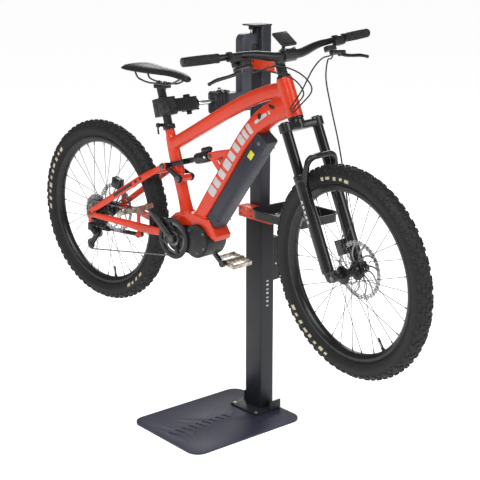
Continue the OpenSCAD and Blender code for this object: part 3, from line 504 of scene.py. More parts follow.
class Shape:
    """A mesh under construction, drawn in the millimetres of a place."""

    def __init__(self, place: Place) -> None:
        """Starts an empty mesh.

        Args:
            place: the frame that its points are given in.
        """
        self.place = place
        self.mesh = bmesh.new()
        self.local = Matrix.Identity(4)

    def turned(self, degrees: float, axis: str = "Y", about: Point = (0, 0, 0)) -> "Shape":
        """Turns everything drawn from now on; 0 degrees puts it back."""
        shift = Matrix.Translation(about)
        self.local = shift @ Matrix.Rotation(math.radians(degrees), 4, axis) @ shift.inverted()
        return self

    def skin(self, rings: Iterable[Sequence[Vector]], loop: bool = False) -> "Shape":
        """Joins rings of points into a skin, with end caps unless it loops."""
        matrix = self.place.matrix @ self.local
        rows = [[self.mesh.verts.new(matrix @ Vector(p)) for p in ring] for ring in rings]
        pairs = list(zip(rows, rows[1:] + rows[:1])) if loop else list(zip(rows, rows[1:]))
        for a, b in pairs:
            for k in range(len(a)):
                j = (k + 1) % len(a)
                self.mesh.faces.new((a[k], a[j], b[j], b[k]))
        if not loop:
            self.mesh.faces.new(rows[0][::-1])
            self.mesh.faces.new(rows[-1])
        return self

    def sweep(self, path: Sequence[Vector], half: Sequence[Flat] | Flat, sides: int = 24,
              power: float = 1.0, ref: Point = (0, 1, 0), loop: bool = False) -> "Shape":
        """Sweeps a superellipse along a path.

        Args:
            path: the middle line.
            half: half sizes, across the reference direction first; one pair or one for each point.
            sides: points around the section.
            power: the superellipse's exponent.
            ref: the direction that the second half size is measured along.
            loop: whether the path closes on itself.

        Returns:
            This shape.
        """
        path = [Vector(p) for p in path]
        count = len(path)
        rings = []
        for i, p in enumerate(path):
            ahead = path[(i + 1) % count] if loop else path[min(i + 1, count - 1)]
            behind = path[i - 1] if loop or i else path[0]
            along = (ahead - behind).normalized()
            u = Vector(ref).cross(along).normalized()
            size = half if isinstance(half[0], (int, float)) else half[i]
            rings.append(ring_points(p, u, along.cross(u), size, sides, power))
        return self.skin(rings, loop)

    def rod(self, start: Point, end: Point, radius: float, end_radius: float | None = None,
            sides: int = 32) -> "Shape":
        """Adds a straight round rod or cone between two points."""
        a, b = Vector(start), Vector(end)
        along = (b - a).normalized()
        ref = Vector((0, 0, 1)) if abs(along.z) < 0.9 else Vector((1, 0, 0))
        u = ref.cross(along).normalized()
        v = along.cross(u)
        last = radius if end_radius is None else end_radius
        return self.skin([ring_points(a, u, v, (radius, radius), sides, 1.0),
                          ring_points(b, u, v, (last, last), sides, 1.0)])

    def across(self, at: Flat, radius: float, y0: float, y1: float, sides: int = 40) -> "Shape":
        """Adds a disc or pin that lies along Y."""
        return self.rod((at[0], y0, at[1]), (at[0], y1, at[1]), radius, sides=sides)

    def box(self, low: Point, high: Point) -> "Shape":
        """Adds a box between two corners."""
        rings = [[Vector((x, y, z)) for x, y in ((low[0], low[1]), (high[0], low[1]),
                                                 (high[0], high[1]), (low[0], high[1]))]
                 for z in (low[2], high[2])]
        return self.skin(rings)

    def prism(self, outline: Sequence[Flat], y0: float, y1: float) -> "Shape":
        """Adds an outline in the XZ plane, made solid between two Y values."""
        return self.skin([[Vector((x, y, z)) for x, z in outline] for y in (y0, y1)])

    def lathe(self, profile: Sequence[Flat], steps: int = 96, teeth: int = 0,
              depth: float = 0.0) -> "Shape":
        """Turns a closed profile of radius and Y about the Y axis.

        Args:
            profile: the closed outline as radius and Y.
            steps: sections around the turn.
            teeth: how many waves the outermost radius has.
            depth: how deep those waves are.

        Returns:
            This shape.
        """
        outer = max(r for r, _ in profile)
        rings = []
        for i in range(steps):
            angle = TURN * i / steps
            wave = depth * (0.5 - 0.5 * math.cos(angle * teeth)) if teeth else 0.0
            rings.append([Vector(((r - wave * (r > outer - 0.01)) * math.cos(angle), y,
                                  (r - wave * (r > outer - 0.01)) * math.sin(angle)))
                          for r, y in profile])
        return self.skin(rings, loop=True)

    def made(self, name: str, bevel: float = 0.0, segments: int = 2, subdivide: int = 0,
             voxel: float = 0.0, relax: int = 0, angle: float = 38.0) -> bpy.types.Object:
        """Turns the drawing into an object with its modifiers applied.

        Args:
            name: the piece's name.
            bevel: width of the rounded edges, in millimetres.
            segments: steps in each rounded edge.
            subdivide: levels of subdivision surface.
            voxel: size of a voxel remesh that melts the parts together, in millimetres.
            relax: passes of smoothing after the remesh.
            angle: edges sharper than this stay sharp, in degrees.

        Returns:
            The object, with no material yet.
        """
        bmesh.ops.recalc_face_normals(self.mesh, faces=self.mesh.faces)
        data = bpy.data.meshes.new(name)
        self.mesh.to_mesh(data)
        self.mesh.free()
        return worked(name, data, bevel, segments, subdivide, voxel, relax, angle)


def worked(name: str, data: bpy.types.Mesh, bevel: float, segments: int, subdivide: int,
           voxel: float, relax: int, angle: float) -> bpy.types.Object:
    """Makes an object of a mesh, applies its modifiers and shades it; Shape.made names the rest."""
    piece = bpy.data.objects.new(name, data)
    bpy.context.scene.collection.objects.link(piece)
    if voxel:
        remesh = piece.modifiers.new("melt", "REMESH")
        remesh.mode = "VOXEL"
        remesh.voxel_size = voxel * MM
        if relax:
            smooth = piece.modifiers.new("relax", "SMOOTH")
            smooth.iterations = relax
            smooth.factor = 0.5
    if bevel:
        edges = piece.modifiers.new("edges", "BEVEL")
        edges.width = bevel * MM
        edges.segments = segments
        edges.limit_method = "ANGLE"
        edges.angle_limit = math.radians(35)
        edges.harden_normals = False
        edges.use_clamp_overlap = True
    if subdivide:
        surface = piece.modifiers.new("surface", "SUBSURF")
        surface.levels = subdivide
        surface.render_levels = subdivide
    if piece.modifiers:
        graph = bpy.context.evaluated_depsgraph_get()
        final = bpy.data.meshes.new_from_object(piece.evaluated_get(graph))
        piece.modifiers.clear()
        piece.data = final
        final.name = name
    piece.data.shade_smooth()
    if not voxel:
        piece.data.set_sharp_from_angle(angle=math.radians(angle))
    return piece


@dataclass
class Workshop:
    """What every sub-assembly needs: the frame, its places and the finishes."""

    frame: dict
    wardrobe: Wardrobe = field(default_factory=Wardrobe)

    def __post_init__(self) -> None:
        """Works out the bike's and the fork's places from the joints."""
        self.row = row_place()
        self.bike = bike_place(self.frame)
        self.fork = fork_place(self.frame)

    def deliver(self, piece: bpy.types.Object, look: Look, body: str, *nodes: str) -> bpy.types.Object:
        """Dresses a piece, ties it to a body and hides the CAD nodes that it stands for.

        Args:
            piece: the finished object.
            look: its finish.
            body: the CAD body that it moves with.
            nodes: the CAD nodes that it replaces.

        Returns:
            The same object.
        """
        piece.data.materials.clear()
        piece.data.materials.append(self.wardrobe.material(look))
        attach(piece, body)
        if nodes:
            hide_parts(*nodes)
        LOG.info("made %s on %s", piece.name, body)
        return piece

    def bent(self, piece: bpy.types.Object, look: Look, bodies: tuple[str, str],
             span: tuple[Vector, Vector], *nodes: str) -> bpy.types.Object:
        """Dresses a piece that spans one joint; it is baked in place and tied to neither body.

        Args:
            piece: the finished object.
            look: its finish.
            bodies: the body before the bend and the body after it.
            span: where the bend starts and ends, in metres; not used.
            nodes: the CAD nodes that it replaces.

        Returns:
            The same object.
        """
        piece.data.materials.clear()
        piece.data.materials.append(self.wardrobe.material(look))
        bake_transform(piece)
        if nodes:
            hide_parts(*nodes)
        LOG.info("made %s from %s to %s", piece.name, *bodies)
        return piece

    def refined(self, node: str, look: Look, bevel: float = 1.0, segments: int = 2) -> None:
        """Stands a round-edged copy in for a CAD node.

        Args:
            node: the CAD node.
            look: its finish.
            bevel: width of the rounded edges, in millimetres.
            segments: steps in each rounded edge.
        """
        source = self.frame["nodes"][node]
        mesh = bmesh.new()
        mesh.from_mesh(source.data)
        bmesh.ops.remove_doubles(mesh, verts=mesh.verts, dist=1e-6)
        bmesh.ops.dissolve_limit(mesh, angle_limit=math.radians(0.6), verts=mesh.verts,
                                 edges=mesh.edges, delimit=set())
        data = bpy.data.meshes.new(node)
        mesh.to_mesh(data)
        mesh.free()
        piece = worked(node + "_finished", data, bevel, segments, 0, 0.0, 0, 32.0)
        self.deliver(piece, look, source["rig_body"], node)

    def dressed(self, node: str, look: Look) -> None:
        """Gives a CAD node that keeps its own mesh its finish."""
        source = self.frame["nodes"][node]
        source.data.materials.clear()
        source.data.materials.append(self.wardrobe.material(look))
        LOG.info("dressed %s", node)


# ---------------------------------------------------------------- the stand

@dataclass
class Stand:
    """The base, the lifting column, its clamp arm and the tool tray."""

    shop: Workshop
    clamp_z: float = 1315.0
    spindle_y: float = -358.0
    post_y: float = -464.0
    lean: float = -16.7
    knob_z: float = 1560.5
    knob_y: float = -48.0

    def build(self) -> None:
        """Builds and dresses every piece of the stand."""
        shop = self.shop
        shop.refined("base_plate", Look.PLATE, 1.4)
        shop.refined("foot_flange", Look.COLUMN, 1.5)
        shop.refined("lower_column", Look.COLUMN, 0.6)
        shop.refined("upper_column", Look.COLUMN_UPPER, 0.6)
        shop.refined("column_bushing", Look.PLASTIC, 0.8)
        shop.refined("column_cap", Look.COLUMN, 1.2)
        shop.refined("carriage", Look.CARRIAGE, 3.0, 3)
        shop.refined("slide_block", Look.BLACK_PART, 1.2)
        shop.refined("tray_brackets", Look.BRACKET, 0.6)
        shop.refined("tool_tray", Look.BLACK_PART, 0.9)
        shop.refined("clamp_head", Look.BLACK_PART, 2.0)
        shop.refined("clamp_rod", Look.CHROME, 1.0)
        shop.refined("clamp_body", Look.BLACK_PART, 2.2)
        shop.refined("clamp_jaw", Look.BLACK_PART, 2.2)
        for node, look in (("lift_actuator", Look.COLUMN), ("lift_rod", Look.ZINC)):
            shop.dressed(node, look)
        self.bolts()
        self.drive_box()
        self.knobs()
        self.column_marks()
        self.clamp_details()

    def bolts(self) -> None:
        """Makes the foot's four socket bolts with their washers."""
        low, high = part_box("foot_bolts")
        inset, top = 7.2, high.z / MM
        shape = Shape(self.shop.row)
        for x in (low.x / MM + inset, high.x / MM - inset):
            for y in (low.y / MM + inset, high.y / MM - inset):
                shape.rod((x, y, 3), (x, y, top - 5), 4.4)
                shape.rod((x, y, top - 4.9), (x, y, top - 3.6), 9.0)
                shape.rod((x, y, top - 3.6), (x, y, top), 7.0, 6.4, 6)
        piece = shape.made("foot_bolt_set", bevel=0.5)
        self.shop.deliver(piece, Look.ZINC, "stand", "foot_bolts")

    def drive_box(self) -> None:
        """Makes the lift drive's housing with its seam, vents, screws and switch."""
        low, high = (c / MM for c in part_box("drive_box"))
        shape = Shape(self.shop.row)
        shape.box(tuple(low), (high.x, high.y - 12, high.z))
        shape.box((low.x + 1.2, high.y - 11.2, low.z + 1.2), (high.x - 1.2, high.y, high.z - 1.2))
        piece = shape.made("drive_housing", bevel=3.0, segments=3)
        self.shop.deliver(piece, Look.PLASTIC, "stand", "drive_box")
        detail = Shape(self.shop.row)
        for i in range(7):
            z = low.z + 22 + 6 * i
            detail.box((low.x + 14, high.y - 0.3, z), (high.x - 14, high.y + 0.6, z + 2.6))
        for x in (low.x + 8, high.x - 8):
            for z in (low.z + 9, high.z - 9):
                detail.rod((x, high.y - 0.5, z), (x, high.y + 0.9, z), 3.0)
        detail.rod((high.x - 0.4, low.y + 22, low.z + 70), (high.x + 1.0, low.y + 22, low.z + 70), 4.0)
        self.shop.deliver(detail.made("drive_screws", bevel=0.25), Look.ZINC, "stand")

    def knobs(self) -> None:
        """Makes the fluted lock knob, the jaw knob and the head's quick lever."""
        lock = Shape(Place(self.shop.row.shifted(0, self.knob_y, 0).matrix))
        rings = []
        for z, r in ((1574.2, 9.0), (1575.6, 10.8), (1585.6, 10.8), (1587.4, 9.6)):
            rings.append([Vector((math.cos(TURN * k / 60) * (r - 0.9 * (k % 6 < 2)),
                                  math.sin(TURN * k / 60) * (r - 0.9 * (k % 6 < 2)), z))
                          for k in range(60)])
        lock.skin(rings)
        self.shop.deliver(lock.made("lock_knob_grip", bevel=0.3), Look.PLASTIC, "lock_knob", "lock_knob")
        bolt = Shape(self.shop.row.shifted(0, self.knob_y, 0))
        bolt.rod((0, 0, self.knob_z + 3), (0, 0, self.knob_z + 14), 5.0)
        bolt.rod((0, 0, self.knob_z), (0, 0, self.knob_z + 4), 6.2, sides=6)
        self.shop.deliver(bolt.made("lock_knob_bolt", bevel=0.4), Look.CHROME, "lock_knob")
        clamp = self.clamp_place()
        knob = Shape(clamp)
        knob.rod((0, 0, -34), (0, 0, 26), 6.0)
        rings = []
        for z, r in ((25.4, 12.0), (27, 13.2), (34.5, 13.2), (37.2, 10.5)):
            rings.append([Vector((math.cos(TURN * k / 72) * (r - 1.6 * (k % 12 < 5)),
                                  math.sin(TURN * k / 72) * (r - 1.6 * (k % 12 < 5)), z))
                          for k in range(72)])
        knob.skin(rings)
        knob.rod((0, 0, -38), (0, 0, -25.4), 10.0, sides=6)
        self.shop.deliver(knob.made("jaw_knob_grip", bevel=0.5), Look.PLASTIC, "jaw_knob", "jaw_knob")
        low, high = (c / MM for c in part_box("head_lever"))
        start = Vector((0, low.y + (high.y - low.y) / 2, low.z))
        pivot = Vector(joint_named(self.shop.frame, "head_lever_turn")["pos_m"]) / MM
        arm = Shape(self.shop.row)
        arm.rod((pivot.x, pivot.y, low.z), (pivot.x, pivot.y, high.z), 10.0)
        path = [Vector((pivot.x + 4, pivot.y, low.z + 3.5)), Vector((30, start.y, low.z + 3.8)),
                Vector((62, low.y + 6, low.z + 3.5)), Vector((66, low.y + 6, low.z + 3.5))]
        arm.sweep(smooth_path(path), (3.2, 5.0), power=0.7, ref=(0, 1, 0.01))
        piece = arm.made("head_lever_arm", bevel=0.5)
        self.shop.deliver(piece, Look.CHROME, "head_lever", "head_lever")
        cap = Shape(self.shop.row)
        cap.rod((pivot.x, pivot.y, high.z - 1), (pivot.x, pivot.y, high.z + 2.5), 8.4, 6.4)
        cap.sweep(smooth_path([(40, low.y + 9.5, low.z + 3.6), (55, low.y + 7, low.z + 3.5),
                               (68.5, low.y + 5.6, low.z + 3.5)]), (3.9, 6.1), ref=(0, 1, 0.01))
        self.shop.deliver(cap.made("head_lever_sleeve", bevel=0.6), Look.PLASTIC, "head_lever")

    def clamp_place(self) -> Place:
        """Returns the clamp's leaning frame, with its origin on the jaw spindle."""
        at = self.shop.row.shifted(0, self.post_y, self.clamp_z).turned(self.lean, "Y")
        return at.shifted(0, self.spindle_y - self.post_y, 0)

    def clamp_details(self) -> None:
        """Adds the jaws' ribs and screw bosses, the rod collar and the head's screws."""
        place = self.clamp_place()
        reach = self.post_y - self.spindle_y
        for side, body in ((1, "clamp"), (-1, "jaw")):
            ribs = Shape(place)
            for i in range(4):
                y = reach - 24 + 16 * i
                face = side * 28.0
                ribs.box((min(face, face + side * 2.2), y - 2.2, -27), (max(face, face + side * 2.2),
                                                                       y + 2.2, 27))
            for z in (-18, 18):
                ribs.rod((side * 24.0, reach + 40, z), (side * 27.5, reach + 40, z), 5.5, 4.6)
            name = "jaw_ribs_fixed" if side > 0 else "jaw_ribs_moving"
            self.shop.deliver(ribs.made(name, bevel=0.8), Look.BLACK_PART, body)
        collar = Shape(self.shop.row)
        for y in (-331.6, -325.5):
            collar.rod((0, y, self.clamp_z), (0, y + 3.2, self.clamp_z), 22.5, 21.5)
        collar.rod((-17, -327, self.clamp_z + 17), (-17, -318.5, self.clamp_z + 17), 4.6, sides=6)
        collar.rod((16, -327, self.clamp_z - 18), (16, -318.5, self.clamp_z - 18), 4.6, sides=6)
        self.shop.deliver(collar.made("rod_collar", bevel=0.6), Look.BLACK_PART, "clamp")
        head = Shape(self.shop.row)
        for x in (-20, 20):
            for z in (-38, 20):
                head.rod((x, -239.4, self.clamp_z + z), (x, -236.6, self.clamp_z + z), 4.4, sides=20)
                head.rod((x, -240.1, self.clamp_z + z), (x, -239.3, self.clamp_z + z), 2.2, sides=6)
        self.shop.deliver(head.made("clamp_head_screws", bevel=0.35), Look.STEEL, "lift")

    def column_marks(self) -> None:
        """Adds a plain upright row of bars on the column's face, and the screw heads on the tray
        brackets.
        """
        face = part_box("lower_column")[1].x / MM
        marks = Shape(self.shop.row)
        for i, length in enumerate((9, 14, 9, 14, 9, 14, 9)):
            z = 458 + 17.5 * i
            marks.box((face - 0.2, -6, z), (face + 0.25, 6, z + length * 0.6))
        self.shop.deliver(marks.made("column_mark"), Look.MARK, "stand")
        low, high = (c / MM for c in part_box("tray_brackets"))
        screws = Shape(self.shop.row)
        for x in (-30, 30):
            for z in (low.z + 12, low.z + 34, high.z - 32, high.z - 12):
                y = low.y if z < low.z + 50 else -61.0
                screws.rod((x, y - 2.2, z), (x, y + 0.4, z), 4.2, 4.8)
        self.shop.deliver(screws.made("bracket_screws", bevel=0.4), Look.STEEL, "lift")


# ---------------------------------------------------------------- wheels

@dataclass
class Wheel:
    """One wheel: tyre, rim, spokes, hub and brake rotor."""

    shop: Workshop
    end: str
    place: Place
    body: str
    rotor_y: float
    marks: tuple[tuple[float, float], ...]
    hub_radius: float
    hub_ends: tuple[float, float]
    tyre_r: float = 362.0
    centre_r: float = 325.5
    half_w: float = 32.5
    rim_r: float = 294.0
    rim_inner: float = 273.0
    flange_r: float = 31.0
    spokes: int = 32
    knob_rows: int = 72

    def build(self) -> None:
        """Builds and dresses the whole wheel."""
        self.carcass()
        self.tread()
        self.sidewall()
        self.rim()
        self.spoke_set()
        self.hub()
        self.rotor()

    def on_tyre(self, section: float, lift: float) -> Flat:
        """Returns radius and Y on the tyre's section.

        Args:
            section: angle from the crown, in degrees, towards the left side when positive.
            lift: distance outside the carcass.

        Returns:
            The radius from the axle and the Y value.
        """
        a = math.radians(section)
        return (self.centre_r + (self.half_w + lift) * math.cos(a),
                (self.half_w + lift) * math.sin(a) * 0.98)

    def carcass(self) -> None:
        """Makes the tyre's casing, with a bead ridge above the rim."""
        sections = [self.on_tyre(-146 + 292 * i / 44, 0.0) for i in range(45)]
        bead = [(self.rim_r + 1.5, 19.5), (self.rim_r - 3, 17.2), (self.rim_r - 3, -17.2),
                (self.rim_r + 1.5, -19.5)]
        shape = Shape(self.place)
        shape.lathe(sections + bead, steps=160)
        for side in (-1, 1):
            r, y = self.on_tyre(side * 128, 0.5)
            shape.lathe([(r + 1.4 * math.cos(a), y + 1.4 * math.sin(a))
                         for a in (TURN * k / 8 for k in range(8))], steps=160)
        self.shop.deliver(shape.made(self.end + "_tyre_casing"), Look.TYRE, self.body,
                          self.end + "_tyre")

    def knob(self, shape: Shape, at: float, section: float, length: float, width: float,
             height: float, twist: float) -> None:
        """Adds one tapered tread block.

        Args:
            shape: the mesh to add to.
            at: place around the wheel, in degrees.
            section: place across the tread, in degrees from the crown.
            length: size along the rolling direction.
            width: size across the tread.
            height: how far it stands above the casing.
            twist: its turn about its own height, in degrees.
        """
        rings = []
        for lift, share in ((-1.5, 1.12), (height * 0.55, 1.0), (height, 0.84)):
            ring = []
            for u, v in ((-1, -1), (1, -1), (1, 1), (-1, 1)):
                along, over = u * length * share / 2, v * width * share / 2
                t = math.radians(twist)
                along, over = (along * math.cos(t) - over * math.sin(t),
                               along * math.sin(t) + over * math.cos(t))
                r, y = self.on_tyre(section + math.degrees(over / self.half_w), lift)
                angle = math.radians(at) + along / self.tyre_r
                ring.append(Vector((r * math.cos(angle), y, r * math.sin(angle))))
            rings.append(ring)
        shape.skin(rings)

    def tread(self) -> None:
        """Covers the casing with rows of centre, middle and shoulder knobs."""
        shape = Shape(self.place)
        pitch = 360 / self.knob_rows
        for row in range(self.knob_rows):
            at, even = row * pitch, row % 2 == 0
            for side in (-1, 1):
                lag = pitch * 0.5 * (side > 0)
                self.knob(shape, at + lag, side * (13 if even else 10), 13 if even else 10, 11,
                          3.9, side * 8)
                if even:
                    self.knob(shape, at + lag + pitch * 0.6, side * 33, 12, 9, 3.7, side * -16)
                self.knob(shape, at + lag, side * (53 if even else 56), 14.5, 11 if even else 8.5,
                          3.9, 0)
                self.knob(shape, at + lag + pitch / 2, side * 71, 6, 5.5, 1.6, 0)
        self.shop.deliver(shape.made(self.end + "_tyre_knobs"), Look.TYRE, self.body)

    def sidewall(self) -> None:
        """Adds plain raised bars on both sidewalls."""
        bars = Shape(self.place)
        for side in (-1, 1):
            for start, count in self.marks:
                for i in range(int(count)):
                    width = 2.3 if i % 3 else 3.4
                    self.patch(bars, start + 5.4 * i, width, side * 91, side * (108 if i % 2 else 113))
        self.shop.deliver(bars.made(self.end + "_tyre_bars"), Look.SIDE_MARK, self.body)

    def patch(self, shape: Shape, at: float, width: float, first: float, last: float) -> None:
        """Adds one thin curved bar on the sidewall, slanted a little."""
        rings = []
        for i in range(6):
            section = first + (last - first) * i / 5
            lean = 0.7 * i / 5
            ring = []
            for turn, lift in ((0, -0.3), (width, -0.3), (width, 0.25), (0, 0.25)):
                r, y = self.on_tyre(section, lift)
                angle = math.radians(at + turn + lean)
                ring.append(Vector((r * math.cos(angle), y, r * math.sin(angle))))
            rings.append(ring)
        shape.skin(rings)

    def rim(self) -> None:
        """Makes the rim's hollow section with its hooked edges, and the valve."""
        r0, r1, w = self.rim_inner, self.rim_r + 0.4, 18.6
        profile = [(r0, -6), (r0 - 0.8, 0), (r0, 6), (r0 + 4, 12.5), (r1 - 9, w), (r1 - 1.2, w + 0.4),
                   (r1, w - 0.6), (r1 - 0.8, w - 2.4), (r1 - 7, w - 2.4), (r1 - 11, 9), (r1 - 13, 0),
                   (r1 - 11, -9), (r1 - 7, -w + 2.4), (r1 - 0.8, -w + 2.4), (r1, -w + 0.6),
                   (r1 - 1.2, -w - 0.4), (r1 - 9, -w), (r0 + 4, -12.5)]
        shape = Shape(self.place)
        shape.lathe(profile, steps=160)
        self.shop.deliver(shape.made(self.end + "_rim_hoop", angle=28), Look.ALLOY, self.body,
                          self.end + "_rim")
        valve = Shape(self.place)
        valve.turned(78)
        valve.rod((r0 + 2, 0, 0), (r0 - 34, 0, 0), 3.0)
        valve.rod((r0 - 1.5, 0, 0), (r0 - 5, 0, 0), 5.4)
        valve.rod((r0 - 30, 0, 0), (r0 - 44, 0, 0), 3.9, 3.2)
        self.shop.deliver(valve.made(self.end + "_valve", bevel=0.3), Look.PLASTIC, self.body)

    def spoke_set(self) -> None:
        """Laces the spokes two-cross, with a nipple at each rim hole."""
        shape = Shape(self.place)
        for i in range(self.spokes):
            side = 1 if i % 2 == 0 else -1
            lead = 1 if i % 4 < 2 else -1
            a = TURN * i / self.spokes
            b = a + math.radians(lead * 62)
            y = side * (30 + lead * 1.3)
            hub = Vector(((self.flange_r - 3) * math.cos(b), y, (self.flange_r - 3) * math.sin(b)))
            rim = Vector(((self.rim_inner + 1) * math.cos(a), side * 3,
                          (self.rim_inner + 1) * math.sin(a)))
            shape.rod(hub, rim, 1.0, sides=10)
            along = (rim - hub).normalized()
            shape.rod(rim - along * 13, rim, 2.0, 2.3, 10)
            shape.rod(hub - Vector((0, side * 2.6, 0)), hub + Vector((0, side * 2.6, 0)), 1.9, sides=10)
        self.shop.deliver(shape.made(self.end + "_spoke_lacing"), Look.SPOKE, self.body,
                          self.end + "_spokes")

    def hub(self) -> None:
        """Makes the waisted hub shell with its two flanges and end caps."""
        left, right = self.hub_ends
        body = self.hub_radius
        profile = [(6.1, -right), (10.5, -right), (11, -right + 1), (11, -36), (body + 5, -34.5)]
        for side in (-1, 1):
            flange = [(self.flange_r - 1, side * 33.0), (self.flange_r, side * 32.2),
                      (self.flange_r, side * 28.8), (self.flange_r - 1, side * 28.0)]
            profile += flange if side < 0 else flange[::-1]
            if side < 0:
                profile += [(body + 4, -26.0), (body, -20.0), (body - 1.2, 0.0), (body, 20.0),
                            (body + 4, 26.0)]
        profile += [(body + 5, 34.5), (11, 36), (11, left - 1), (10.5, left), (6.1, left)]
        shape = Shape(self.place)
        shape.lathe(profile, steps=72)
        self.shop.deliver(shape.made(self.end + "_hub_shell", angle=30), Look.ALLOY, self.body,
                          self.end + "_hub")

    def rotor(self) -> None:
        """Makes the brake rotor: a wavy pierced band on curved arms and a carrier."""
        y, outer, inner = self.rotor_y, 100.5, 84.0
        band = Shape(self.place)
        segments, per = 36, 8
        for i in range(segments):
            for first, last, low, high in ((0.0, 0.42, inner, outer), (0.42, 1.0, inner, inner + 3.6),
                                           (0.42, 1.0, inner + 6.6, outer - 5.6),
                                           (0.42, 1.0, outer - 2.8, outer)):
                rings = []
                for k in range(per // 2 + 1):
                    share = first + (last - first) * k / (per // 2)
                    angle = TURN * (i + share) / segments
                    dip = 1.7 * (0.5 - 0.5 * math.cos(TURN * share))
                    top = high - (dip if high == outer else 0)
                    bottom = low + (dip if low == inner else 0)
                    rings.append([Vector((r * math.cos(angle), yy, r * math.sin(angle)))
                                  for r, yy in ((bottom, y), (top, y), (top, y + 1.9),
                                                (bottom, y + 1.9))])
                band.skin(rings)
        for i in range(12):
            start = TURN * (i // 2) / 6 + (0.16 if i % 2 else -0.16)
            sweep = -0.55 if i % 2 == 0 else -0.3
            path = []
            for k in range(9):
                t = k / 8
                r = 24 + (inner + 2 - 24) * t
                angle = start + sweep * t * t
                path.append(Vector((r * math.cos(angle), y + 0.95, r * math.sin(angle))))
            band.sweep(path, (3.0, 0.95), sides=8, power=0.4)
        band.lathe([(12, y - 0.4), (27, y - 0.4), (27.6, y + 2.3), (12, y + 2.3)], steps=60, teeth=6,
                   depth=2.0)
        for i in range(6):
            a = TURN * (i + 0.5) / 6
            band.rod((19 * math.cos(a), y + 2, 19 * math.sin(a)), (19 * math.cos(a), y + 4.4,
                                                                  19 * math.sin(a)), 3.0, sides=12)
        self.shop.deliver(band.made(self.end + "_rotor_disc", angle=25), Look.ROTOR, self.body)


# ---------------------------------------------------------------- the frame

